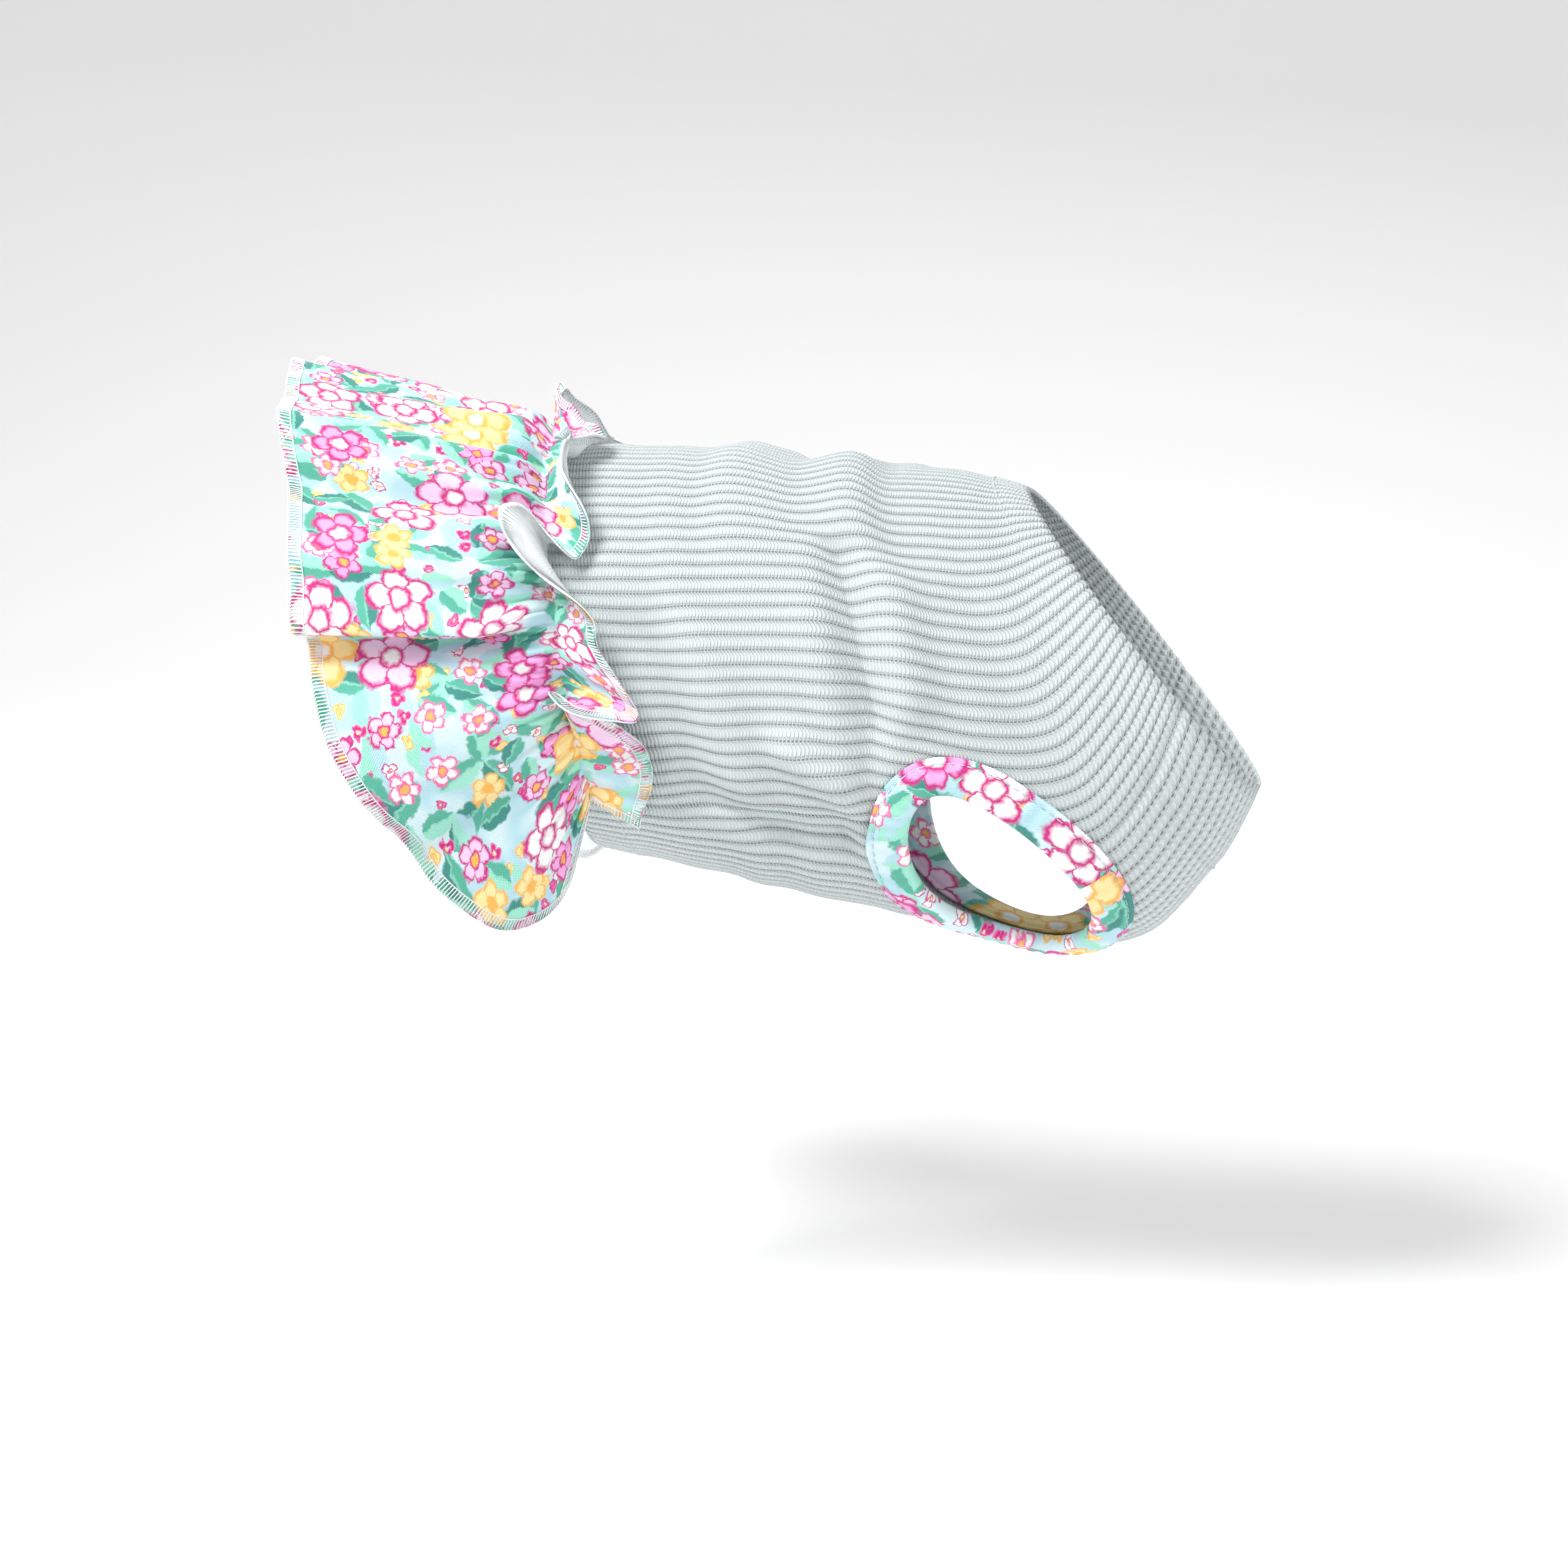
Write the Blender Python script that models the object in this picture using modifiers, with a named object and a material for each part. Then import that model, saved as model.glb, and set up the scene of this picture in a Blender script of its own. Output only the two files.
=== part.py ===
"""A dress for a small dog, in the form that it keeps when worn.

The bodice is rib knit: a back panel and a belly panel that meet along each side. A folded binding
runs round each armhole. One strip of printed cotton is gathered onto the waist: it falls behind the
gathering line as the skirt, and stands in front of it as a ruffled heading.

+X points to the head, +Z up and -Y to the wearer's right. The origin lies on the inner face of the
knit, on the midline of the back, where the dress sits on the wearer. Sizes are in metres.
"""

import math
from typing import NamedTuple

import bmesh
import bpy
from mathutils import Vector

# The bodice
BACK_LENGTH = 0.141
CHEST_DEPTH = 0.140
CHEST_WIDTH = 0.104
KNIT_WALL = 0.0012
SIDE_SEAM_GAP = 0.0005
BODICE_FOLD_HEIGHT = 0.0045
BODICE_FOLD_WIDTH = 0.009

# The armholes and their bindings
ARMHOLE_LENGTH = 0.050
ARMHOLE_HEIGHT = 0.065
ARMHOLE_TILT = -10.0
BINDING_WIDTH = 0.0095
BINDING_WALL = 0.001
BINDING_GAP = 0.0008
CUTTER_DEPTH = 0.012

# The gathered strip
SKIRT_LENGTH = 0.077
HEADING_HEIGHT = 0.0205
CORNER_RADIUS = 0.042
COTTON_WALL = 0.001
GATHER_GAP = 0.0003
SEAM_END_ANGLE = 129.0
FULLNESS = 2.0
GATHERS = 24
GATHER_HEIGHT = 0.0034
GATHER_REACH = 0.030
STITCHED_SHARE = 0.35
SWELL_LENGTH = 0.008
PUFF_HEIGHT = 0.0035
PUFF_LENGTH = 0.005
SKIRT_FOLD_HEIGHT = 0.0085


class Station(NamedTuple):
    """A ring of the bodice: where its top and bottom lie, and half its width.

    top_x and bottom_x are shares of BACK_LENGTH, top_z and bottom_z of CHEST_DEPTH, and half_width
    of CHEST_WIDTH. side_seam is the angle at which the two panels meet, in degrees from the back.
    """

    along: float
    top_x: float
    top_z: float
    bottom_x: float
    bottom_z: float
    half_width: float
    side_seam: float


STATIONS = [
    Station(0.00, -0.500, 0.006, -0.370, -0.800, 0.442, 133.0),
    Station(0.18, -0.310, 0.010, -0.125, -0.852, 0.472, 128.0),
    Station(0.36, -0.120, 0.006, 0.080, -0.898, 0.492, 122.0),
    Station(0.47, 0.000, 0.005, 0.215, -0.922, 0.500, 120.0),
    Station(0.62, 0.145, -0.008, 0.410, -0.962, 0.497, 118.5),
    Station(0.76, 0.265, -0.020, 0.600, -0.998, 0.475, 119.5),
    Station(0.87, 0.365, -0.035, 0.765, -0.955, 0.440, 120.5),
    Station(0.94, 0.435, -0.050, 0.890, -0.820, 0.405, 116.0),
    Station(1.00, 0.504, -0.070, 0.975, -0.655, 0.372, 110.0),
]

ARMHOLE_SHARE = 0.69
ARMHOLE_ANGLE = 135.0
GATHER_SHARE = 0.035


class BodiceFold(NamedTuple):
    """A ridge (positive height) or dent across the knit, between two places on it.

    Angles are in degrees from the back, towards the wearer's right if positive. width and height
    are shares of BODICE_FOLD_WIDTH and BODICE_FOLD_HEIGHT.
    """

    from_along: float
    from_angle: float
    to_along: float
    to_angle: float
    width: float
    height: float


BODICE_FOLDS = [
    BodiceFold(0.40, 6, 0.38, 45, 1.0, 0.25),
    BodiceFold(0.50, 4, 0.50, 40, 0.9, -0.35),
    BodiceFold(0.62, 6, 0.60, 50, 1.0, 0.40),
    BodiceFold(0.73, 0, 0.70, 45, 1.0, -0.30),
    BodiceFold(0.58, 50, 0.57, 104, 0.9, -0.75),
    BodiceFold(0.66, 60, 0.62, 96, 1.0, 0.50),
    BodiceFold(0.50, 70, 0.49, 104, 0.9, 0.35),
    BodiceFold(0.17, 80, 0.21, 120, 1.3, -0.75),
    BodiceFold(0.28, 78, 0.30, 112, 1.0, 0.35),
    BodiceFold(0.53, 116, 0.42, 102, 0.8, 0.60),
    BodiceFold(0.52, 126, 0.32, 129, 0.9, -0.50),
    BodiceFold(0.42, -12, 0.42, -60, 1.1, 0.35),
    BodiceFold(0.55, -6, 0.54, -70, 0.9, -0.50),
    BodiceFold(0.66, -30, 0.60, -92, 1.0, 0.50),
    BodiceFold(0.20, -60, 0.24, -118, 1.3, -0.60),
    BodiceFold(0.32, -70, 0.32, -110, 1.0, 0.40),
    BodiceFold(0.52, -116, 0.40, -100, 0.9, 0.50),
]


class Fall(NamedTuple):
    """How the skirt leaves the gathering line at an angle from the back, on either side.

    flare turns it away from the body and fan turns it towards the lower end of the seam, in degrees.
    length is a share of SKIRT_LENGTH, before the corner of the strip is rounded.
    """

    angle: float
    flare: float
    fan: float
    length: float


FALLS = [
    Fall(0, 12, 0, 1.00),
    Fall(30, 15, 0, 0.97),
    Fall(60, 19, 0, 0.92),
    Fall(80, 24, 2, 0.92),
    Fall(92, 29, 9, 0.89),
    Fall(104, 33, 21, 0.78),
    Fall(116, 35, 43, 0.69),
    Fall(129, 36, 72, 0.73),
]


class SkirtFold(NamedTuple):
    """A long fold of the skirt, running from the gathers to the hem.

    angle is where it leaves the gathering line, in degrees from the back, and spread its half width
    there. height and lap are shares of SKIRT_FOLD_HEIGHT: lap is how far it hangs over, down the seam
    on the wearer's right. rise is the share of the fall at which it is full.
    """

    angle: float
    spread: float
    height: float
    lap: float
    rise: float


SKIRT_FOLDS = [
    SkirtFold(3, 8, 0.45, 0.0, 0.7),
    SkirtFold(20, 5, -0.30, 0.0, 0.5),
    SkirtFold(33, 8, 0.70, 0.2, 0.6),
    SkirtFold(48, 5, -0.35, 0.0, 0.5),
    SkirtFold(64, 8, 0.75, 0.5, 0.4),
    SkirtFold(73, 4, 0.70, 0.9, 0.3),
    SkirtFold(80, 4, -0.80, 0.0, 0.3),
    SkirtFold(95, 7, 0.60, 0.0, 0.5),
    SkirtFold(107, 4, -0.60, 0.0, 0.5),
    SkirtFold(118, 6, 0.30, 0.0, 0.8),
    SkirtFold(-19, 7, 0.70, -0.2, 0.6),
    SkirtFold(-33, 4, -0.45, 0.0, 0.5),
    SkirtFold(-47, 7, 0.85, -0.4, 0.5),
    SkirtFold(-59, 4, -0.65, 0.0, 0.4),
    SkirtFold(-74, 7, 0.85, -0.4, 0.5),
    SkirtFold(-88, 4, -0.60, 0.0, 0.4),
    SkirtFold(-101, 7, 0.80, 0.0, 0.5),
    SkirtFold(-112, 4, -0.50, 0.0, 0.5),
    SkirtFold(-121, 6, 0.30, 0.0, 0.8),
]


class HeadingKnot(NamedTuple):
    """Where the free edge of the heading stands, over an angle of the gathering line.

    edge_angle is the edge's own angle from the back, so the ruffle laps over itself where it falls
    behind angle. forward, towards the head, and out, off the knit, are shares of HEADING_HEIGHT.
    """

    angle: float
    edge_angle: float
    forward: float
    out: float


HEADING_KNOTS = [
    HeadingKnot(-129, -134, 0.70, 0.15),
    HeadingKnot(-115, -109, 0.95, 0.20),
    HeadingKnot(-103, -88, 0.00, 0.60),
    HeadingKnot(-91, -97, 0.90, 0.15),
    HeadingKnot(-82, -70, 0.05, 0.60),
    HeadingKnot(-68, -76, 0.85, 0.15),
    HeadingKnot(-57, -45, 0.00, 0.60),
    HeadingKnot(-43, -52, 0.80, 0.15),
    HeadingKnot(-32, -22, 0.05, 0.65),
    HeadingKnot(-20, -28, 0.80, 0.15),
    HeadingKnot(-10, -10, 0.15, 0.66),
    HeadingKnot(2, -1, 0.10, 0.66),
    HeadingKnot(12, 12, 0.80, 0.12),
    HeadingKnot(20, 28, 0.45, 0.12),
    HeadingKnot(28, 22, 0.15, 0.50),
    HeadingKnot(44, 48, 0.70, 0.12),
    HeadingKnot(51, 59, 0.40, 0.15),
    HeadingKnot(60, 51, -0.05, 0.60),
    HeadingKnot(72, 70, 0.55, 0.20),
    HeadingKnot(80, 82, 0.50, 0.25),
    HeadingKnot(92, 100, 0.90, 0.15),
    HeadingKnot(102, 92, 0.05, 0.58),
    HeadingKnot(115, 109, 0.98, 0.22),
    HeadingKnot(129, 134, 0.65, 0.15),
]

# Shares of the fall at which the strip has a row of faces
FALL_ROWS = [0.06, 0.14, 0.27, 0.43, 0.61, 0.80, 1.00]
HEADING_ROWS = [-1.00, -0.66, -0.32, 0.00]

BACK_COLUMNS = 30
BELLY_COLUMNS = 18
PANEL_ROWS = 25
BINDING_STEPS = 38
COLUMNS_PER_GATHER = 4

KNIT_GREEN = (0.62, 0.71, 0.70, 1.0)
COTTON_AQUA = (0.70, 0.86, 0.88, 1.0)


def smooth(share):
    """0 to 1 as share goes from 0 to 1, with no slope at either end."""
    share = min(max(share, 0.0), 1.0)
    return share * share * (3 - 2 * share)


def read_table(rows, at):
    """The table's row at a value of its first column, on a smooth curve through the rows."""
    last = len(rows) - 2
    i = next((k for k in range(last) if at < rows[k + 1][0]), last)
    before, after = rows[i], rows[i + 1]
    step = after[0] - before[0]
    t = (at - before[0]) / step

    def slope(k, column):
        low, high = rows[max(k - 1, 0)], rows[min(k + 1, len(rows) - 1)]
        return (high[column] - low[column]) / (high[0] - low[0])

    def value(column):
        a, b = before[column], after[column]
        ta, tb = slope(i, column) * step, slope(i + 1, column) * step
        return a + t * (ta + t * (3 * (b - a) - 2 * ta - tb + t * (2 * (a - b) + ta + tb)))

    return type(before)(at, *(value(column) for column in range(1, len(before))))


def ring_point(along, angle):
    """The unfolded inner face of the knit, at a share of the bodice and an angle from the back."""
    ring = read_table(STATIONS, along)
    top = Vector((ring.top_x * BACK_LENGTH, 0, ring.top_z * CHEST_DEPTH))
    bottom = Vector((ring.bottom_x * BACK_LENGTH, 0, ring.bottom_z * CHEST_DEPTH))
    turn = math.radians(angle)
    side = Vector((0, -ring.half_width * CHEST_WIDTH * math.sin(turn), 0))
    return (top + bottom) / 2 + (top - bottom) / 2 * math.cos(turn) + side


def axes_at(point_at, along, angle):
    """How a surface moves per unit of along and per degree, and its outward normal."""
    step, turn = 0.004, 0.5
    forward = (point_at(along + step, angle) - point_at(along - step, angle)) / (2 * step)
    around = (point_at(along, angle + turn) - point_at(along, angle - turn)) / (2 * turn)
    return forward, around, around.cross(forward).normalized()


def armhole_place(turn, side):
    """(along, angle) of the knit's cut edge at a turn round the armhole, in radians."""
    forward, around, _ = axes_at(ring_point, ARMHOLE_SHARE, ARMHOLE_ANGLE)
    reach = ARMHOLE_LENGTH / 2 * math.cos(turn)
    rise = ARMHOLE_HEIGHT / 2 * math.sin(turn)
    tilt = math.radians(ARMHOLE_TILT)
    along = (reach * math.cos(tilt) - rise * math.sin(tilt)) / forward.length
    angle = (reach * math.sin(tilt) + rise * math.cos(tilt)) / around.length
    return ARMHOLE_SHARE + along, side * (ARMHOLE_ANGLE + angle)


def clear_of_armhole(along, angle):
    """0 at an armhole and under its binding, rising to 1 away from it, where the knit may fold."""
    forward, around, _ = axes_at(ring_point, ARMHOLE_SHARE, ARMHOLE_ANGLE)
    reach = (along - ARMHOLE_SHARE) * forward.length
    rise = (abs(angle) - ARMHOLE_ANGLE) * around.length
    share = math.hypot(reach / (ARMHOLE_LENGTH / 2), rise / (ARMHOLE_HEIGHT / 2))
    away = (share - 1) * min(ARMHOLE_LENGTH, ARMHOLE_HEIGHT) / 2
    return smooth((away - BINDING_WIDTH) / BINDING_WIDTH)


def bodice_fold_height(along, angle):
    """How far the folds lift the knit off its ring."""
    around = math.radians(1) * (CHEST_DEPTH + CHEST_WIDTH) / 4
    height = 0.0
    for fold in BODICE_FOLDS:
        start = Vector((fold.from_along * BACK_LENGTH, fold.from_angle * around))
        end = Vector((fold.to_along * BACK_LENGTH, fold.to_angle * around))
        place = Vector((along * BACK_LENGTH, angle * around))
        line = end - start
        share = min(max((place - start).dot(line) / line.length_squared, 0.0), 1.0)
        off = (place - start - line * share).length / (fold.width * BODICE_FOLD_WIDTH)
        height += fold.height * BODICE_FOLD_HEIGHT * math.exp(-off * off)
    edges = smooth((along - GATHER_SHARE) / 0.12) * smooth((1 - along) / 0.10)
    return height * edges * clear_of_armhole(along, angle)


def knit_point(along, angle):
    """The inner face of the knit, folds included."""
    angle = (angle + 180) % 360 - 180
    _, _, normal = axes_at(ring_point, along, angle)
    return ring_point(along, angle) + normal * bodice_fold_height(along, angle)


def knit_place(along, angle, height):
    """A point at a height outside the inner face of the knit."""
    _, _, normal = axes_at(knit_point, along, angle)
    return knit_point(along, angle) + normal * height


def step_over_knit(along, angle, way):
    """(along, angle) after going way, a vector in the surface, from a place on the knit."""
    forward, around, _ = axes_at(ring_point, along, angle)
    ff, fa, aa = forward.dot(forward), forward.dot(around), around.dot(around)
    scale = ff * aa - fa * fa
    wf, wa = way.dot(forward), way.dot(around)
    return along + (wf * aa - wa * fa) / scale, angle + (wa * ff - wf * fa) / scale


def binding_point(turn, side, out, height):
    """A point of the binding: out is how far it lies over the knit from the cut edge."""
    along, angle = armhole_place(turn, side)
    after, before = armhole_place(turn + 0.02, side), armhole_place(turn - 0.02, side)
    tangent = ring_point(*after) - ring_point(*before)
    _, _, normal = axes_at(ring_point, along, angle)
    outward = side * normal.cross(tangent).normalized()
    place = step_over_knit(along, angle, outward * out)
    return knit_place(*place, height)


def fall_direction(angle):
    """The way the skirt runs from the gathering line, the outward normal and the seam's tangent.

    The tangent points to rising angles, over the back to the wearer's right.
    """
    side = 1 if angle >= 0 else -1
    _, around, normal = axes_at(ring_point, GATHER_SHARE, angle)
    outward = Vector((0, normal.y, normal.z)).normalized()
    tangent = Vector((0, around.y, around.z)).normalized()
    fall = read_table(FALLS, abs(angle))
    flare, fan = math.radians(fall.flare), math.radians(fall.fan)
    back = Vector((-math.cos(fan), 0, 0)) + tangent * side * math.sin(fan)
    return back * math.cos(flare) + outward * math.sin(flare), outward, tangent


def fall_length(angle):
    """From the gathering line to the hem, shorter where the strip's corner is rounded."""
    _, around, _ = axes_at(ring_point, GATHER_SHARE, 90)
    from_end = (SEAM_END_ANGLE - abs(angle)) * around.length * FULLNESS
    inside = min(from_end, CORNER_RADIUS) - CORNER_RADIUS
    cut_away = CORNER_RADIUS - math.sqrt(CORNER_RADIUS**2 - inside**2)
    return SKIRT_LENGTH * read_table(FALLS, abs(angle)).length - cut_away


def skirt_fold(angle, share):
    """How far the long folds lift the skirt at a share of its fall, and carry it along the seam."""
    height, lap = 0.0, 0.0
    for fold in SKIRT_FOLDS:
        off = (angle - fold.angle) / fold.spread
        full = smooth(share / fold.rise) * math.exp(-off * off) * SKIRT_FOLD_HEIGHT
        height += fold.height * full
        lap += fold.lap * full
    return height, lap


def gathered_point(angle, share):
    """The middle of the strip: share is 0 on the gathering line, 1 at the hem, -1 at the top edge."""
    seat_height = KNIT_WALL + GATHER_GAP + COTTON_WALL / 2
    wave = math.cos(math.pi * (angle / SEAM_END_ANGLE + 1) * GATHERS)
    gather = GATHER_HEIGHT * (1 + wave) / 2
    if share >= 0:
        seat = knit_place(GATHER_SHARE, angle, seat_height)
        direction, outward, tangent = fall_direction(angle)
        gather *= abs(direction.x)
        reach = share * fall_length(angle)
        near = math.exp(-((reach / GATHER_REACH) ** 2))
        swell = STITCHED_SHARE + (1 - STITCHED_SHARE) * smooth(reach / SWELL_LENGTH)
        puff = PUFF_HEIGHT * (1 - math.exp(-reach / PUFF_LENGTH))
        height, lap = skirt_fold(angle, share)
        lift = puff + gather * near * swell + height
        return seat + direction * reach + outward * lift + tangent * lap
    return heading_point(angle, -share, seat_height + gather * STITCHED_SHARE)


def heading_point(angle, rise, foot):
    """The middle of the heading: rise is 0 on the gathering line, at a height foot, and 1 at the edge."""
    knot = read_table(HEADING_KNOTS, angle)
    forward, _, _ = axes_at(ring_point, GATHER_SHARE, angle)
    along = GATHER_SHARE + knot.forward * rise * HEADING_HEIGHT / forward.length
    lapped = angle + (knot.edge_angle - angle) * rise**1.4
    return knit_place(along, lapped, foot + knot.out * rise * HEADING_HEIGHT)


def cloth_material(name, colour, roughness):
    """A plain cloth finish."""
    material = bpy.data.materials.new(name)
    material.use_nodes = True
    shader = material.node_tree.nodes["Principled BSDF"]
    shader.inputs["Base Color"].default_value = colour
    shader.inputs["Roughness"].default_value = roughness
    shader.inputs["Metallic"].default_value = 0.0
    return material


def mapped_sheet(name, columns, rows, point_at, wall, offset, material, closed=False):
    """A grid of faces laid over point_at(u, v), given a wall's thickness by Solidify.

    offset is 1 where the grid is the inner face of the wall and 0 where it is its middle. A closed
    sheet joins its last column to its first.
    """
    mesh = bpy.data.meshes.new(name)
    grid = bmesh.new()
    bmesh.ops.create_grid(grid, x_segments=columns, y_segments=rows, size=0.5)
    for vertex in grid.verts:
        u = round((vertex.co.x + 0.5) * columns) / columns
        v = round((vertex.co.y + 0.5) * rows) / rows
        vertex.co = point_at(u, v)
    if closed:
        bmesh.ops.remove_doubles(grid, verts=grid.verts, dist=1e-6)
    grid.to_mesh(mesh)
    grid.free()
    mesh.shade_smooth()
    mesh.materials.append(material)
    sheet = bpy.data.objects.new(name, mesh)
    wall_maker = sheet.modifiers.new("wall", "SOLIDIFY")
    wall_maker.thickness = wall
    wall_maker.offset = offset
    wall_maker.use_even_offset = closed
    return sheet


def armhole_cutter(side):
    """A plug that stands through the knit at an armhole, with the armhole's outline."""
    name = "cutter_right" if side > 0 else "cutter_left"
    mesh = bpy.data.meshes.new(name)
    plug = bmesh.new()
    bmesh.ops.create_cone(
        plug, cap_ends=True, cap_tris=True, segments=BINDING_STEPS, radius1=1, radius2=1, depth=2
    )
    for vertex in plug.verts:
        height = math.copysign(CUTTER_DEPTH, vertex.co.z)
        if vertex.co.xy.length < 0.5:
            vertex.co = knit_place(ARMHOLE_SHARE, side * ARMHOLE_ANGLE, height)
            continue
        turn = side * math.atan2(vertex.co.y, vertex.co.x)
        vertex.co = knit_place(*armhole_place(turn, side), height)
    plug.normal_update()
    bmesh.ops.recalc_face_normals(plug, faces=plug.faces)
    plug.to_mesh(mesh)
    plug.free()
    cutter = bpy.data.objects.new(name, mesh)
    cutter.hide_render = True
    cutter.display_type = "WIRE"
    return cutter


def bodice_panel(name, columns, edge_angles, material, cutters):
    """A knit panel between two angles, given at each along by edge_angles, with its armholes cut."""

    def point_at(u, v):
        first, last = edge_angles(v)
        return knit_point(v, first + (last - first) * u)

    panel = mapped_sheet(name, columns, PANEL_ROWS, point_at, KNIT_WALL, 1.0, material)
    for cutter in cutters:
        cut = panel.modifiers.new(cutter.name, "BOOLEAN")
        cut.operation = "DIFFERENCE"
        cut.solver = "EXACT"
        cut.object = cutter
    return panel


def seam_angle(along, past):
    """The side seam's angle on the right, less half the gap between the panels where past is -1."""
    _, around, _ = axes_at(ring_point, along, 125)
    return read_table(STATIONS, along).side_seam + past * SIDE_SEAM_GAP / 2 / around.length


def back_edges(along):
    """The back panel runs over the back, from the left side seam to the right one."""
    edge = seam_angle(along, -1)
    return -edge, edge


def belly_edges(along):
    """The belly panel runs under the belly, from the right side seam to the left one."""
    edge = seam_angle(along, 1)
    return edge, 360 - edge


def armhole_binding(name, side, material):
    """The folded strip round an armhole, over the knit outside, round its cut edge and back inside."""
    middle = BINDING_GAP + BINDING_WALL / 2
    above, below = KNIT_WALL + middle, -middle
    section = [
        (BINDING_WIDTH, above),
        (0.0, above),
        (-middle, KNIT_WALL / 2 + middle / 2),
        (-middle, KNIT_WALL / 2 - middle / 2),
        (0.0, below),
        (BINDING_WIDTH, below),
    ]

    def point_at(u, v):
        out, height = section[round(v * (len(section) - 1))]
        return binding_point(side * 2 * math.pi * u, side, out, height)

    rows = len(section) - 1
    return mapped_sheet(name, BINDING_STEPS, rows, point_at, BINDING_WALL, 0.0, material, closed=True)


def gathered_strip(name, material):
    """The skirt and its heading, one strip pinched where it is sewn to the waist."""
    shares = HEADING_ROWS + FALL_ROWS

    def point_at(u, v):
        return gathered_point((2 * u - 1) * SEAM_END_ANGLE, shares[round(v * (len(shares) - 1))])

    columns = GATHERS * COLUMNS_PER_GATHER
    return mapped_sheet(name, columns, len(shares) - 1, point_at, COTTON_WALL, 0.0, material)


def main():
    """Clears the scene and builds the dress."""
    for old in list(bpy.data.objects):
        bpy.data.objects.remove(old)
    pieces = bpy.data.collections.new("dog_dress")
    helpers = bpy.data.collections.new("cutters")
    bpy.context.scene.collection.children.link(pieces)
    bpy.context.scene.collection.children.link(helpers)
    knit = cloth_material("rib_knit", KNIT_GREEN, 0.9)
    cotton = cloth_material("printed_cotton", COTTON_AQUA, 0.75)
    cutters = [armhole_cutter(1), armhole_cutter(-1)]
    for cutter in cutters:
        helpers.objects.link(cutter)
    dress = [
        bodice_panel("back_panel", BACK_COLUMNS, back_edges, knit, cutters),
        bodice_panel("belly_panel", BELLY_COLUMNS, belly_edges, knit, cutters),
        armhole_binding("armhole_binding_right", 1, cotton),
        armhole_binding("armhole_binding_left", -1, cotton),
        gathered_strip("gathered_skirt", cotton),
    ]
    for piece in dress:
        pieces.objects.link(piece)


main()
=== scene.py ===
"""The looks of a small dog's dress: a rib knit bodice, bound armholes and a gathered floral skirt.

The bodice is read from rings along the body, the skirt from the gathering line that runs round its
waist. Places on the knit are given as a share along the body and an angle from the back, in
degrees, towards the wearer's right. Sizes are in metres.
"""

import logging
import math
from dataclasses import dataclass, field
from enum import Enum
from typing import Callable, NamedTuple, Sequence, Union

import bmesh
import bpy
import numpy as np
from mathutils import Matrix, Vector


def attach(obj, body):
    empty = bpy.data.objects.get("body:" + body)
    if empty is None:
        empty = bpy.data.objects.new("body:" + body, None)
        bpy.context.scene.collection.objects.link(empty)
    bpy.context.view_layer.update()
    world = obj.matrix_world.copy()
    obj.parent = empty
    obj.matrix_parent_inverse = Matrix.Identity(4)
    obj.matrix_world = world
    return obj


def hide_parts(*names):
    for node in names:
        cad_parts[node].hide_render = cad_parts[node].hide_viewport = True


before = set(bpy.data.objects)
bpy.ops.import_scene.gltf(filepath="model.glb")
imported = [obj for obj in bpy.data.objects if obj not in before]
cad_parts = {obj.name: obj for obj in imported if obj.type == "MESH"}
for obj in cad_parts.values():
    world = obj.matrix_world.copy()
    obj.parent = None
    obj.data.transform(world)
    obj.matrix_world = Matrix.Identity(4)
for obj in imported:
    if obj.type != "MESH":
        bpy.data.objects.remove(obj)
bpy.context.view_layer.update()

log = logging.getLogger("dog_dress")

Array = np.ndarray
Surface = Callable[[Array, Array], Array]
Socket = bpy.types.NodeSocket
Value = Union[Socket, float]
Colour = tuple[float, float, float, float]


class Side(Enum):
    """The wearer's two sides, with the sign of their angles."""

    RIGHT = 1
    LEFT = -1


class Station(NamedTuple):
    """A ring of the bodice, in shares of its named sizes, and the angle of its side seam."""

    along: float
    top_x: float
    top_z: float
    bottom_x: float
    bottom_z: float
    half_width: float
    side_seam: float


class BodiceFold(NamedTuple):
    """A ridge or dent across the knit between two places, with shares of a fold's width and height."""

    from_along: float
    from_angle: float
    to_along: float
    to_angle: float
    width: float
    height: float


class Fall(NamedTuple):
    """How the skirt leaves the gathering line at an angle, and its length as a share."""

    angle: float
    flare: float
    fan: float
    length: float


class SkirtFold(NamedTuple):
    """A long fold of the skirt: where it starts, its half width, its lift, its lap and its start."""

    angle: float
    spread: float
    height: float
    lap: float
    rise: float


class HeadingKnot(NamedTuple):
    """Where the heading's free edge stands over an angle of the gathering line."""

    angle: float
    edge_angle: float
    forward: float
    out: float


class Curl(NamedTuple):
    """A stretch of the heading whose free edge rolls back, and how far it turns, in degrees."""

    angle: float
    spread: float
    turn: float


STATIONS = [
    Station(0.00, -0.500, 0.006, -0.370, -0.800, 0.442, 133.0),
    Station(0.18, -0.310, 0.010, -0.125, -0.852, 0.472, 128.0),
    Station(0.36, -0.120, 0.006, 0.080, -0.898, 0.492, 122.0),
    Station(0.47, 0.000, 0.005, 0.215, -0.922, 0.500, 120.0),
    Station(0.62, 0.145, -0.008, 0.410, -0.962, 0.497, 118.5),
    Station(0.76, 0.265, -0.020, 0.600, -0.998, 0.475, 119.5),
    Station(0.87, 0.365, -0.035, 0.765, -0.955, 0.440, 120.5),
    Station(0.94, 0.435, -0.050, 0.890, -0.820, 0.405, 116.0),
    Station(1.00, 0.504, -0.070, 0.975, -0.655, 0.372, 110.0),
]

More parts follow.
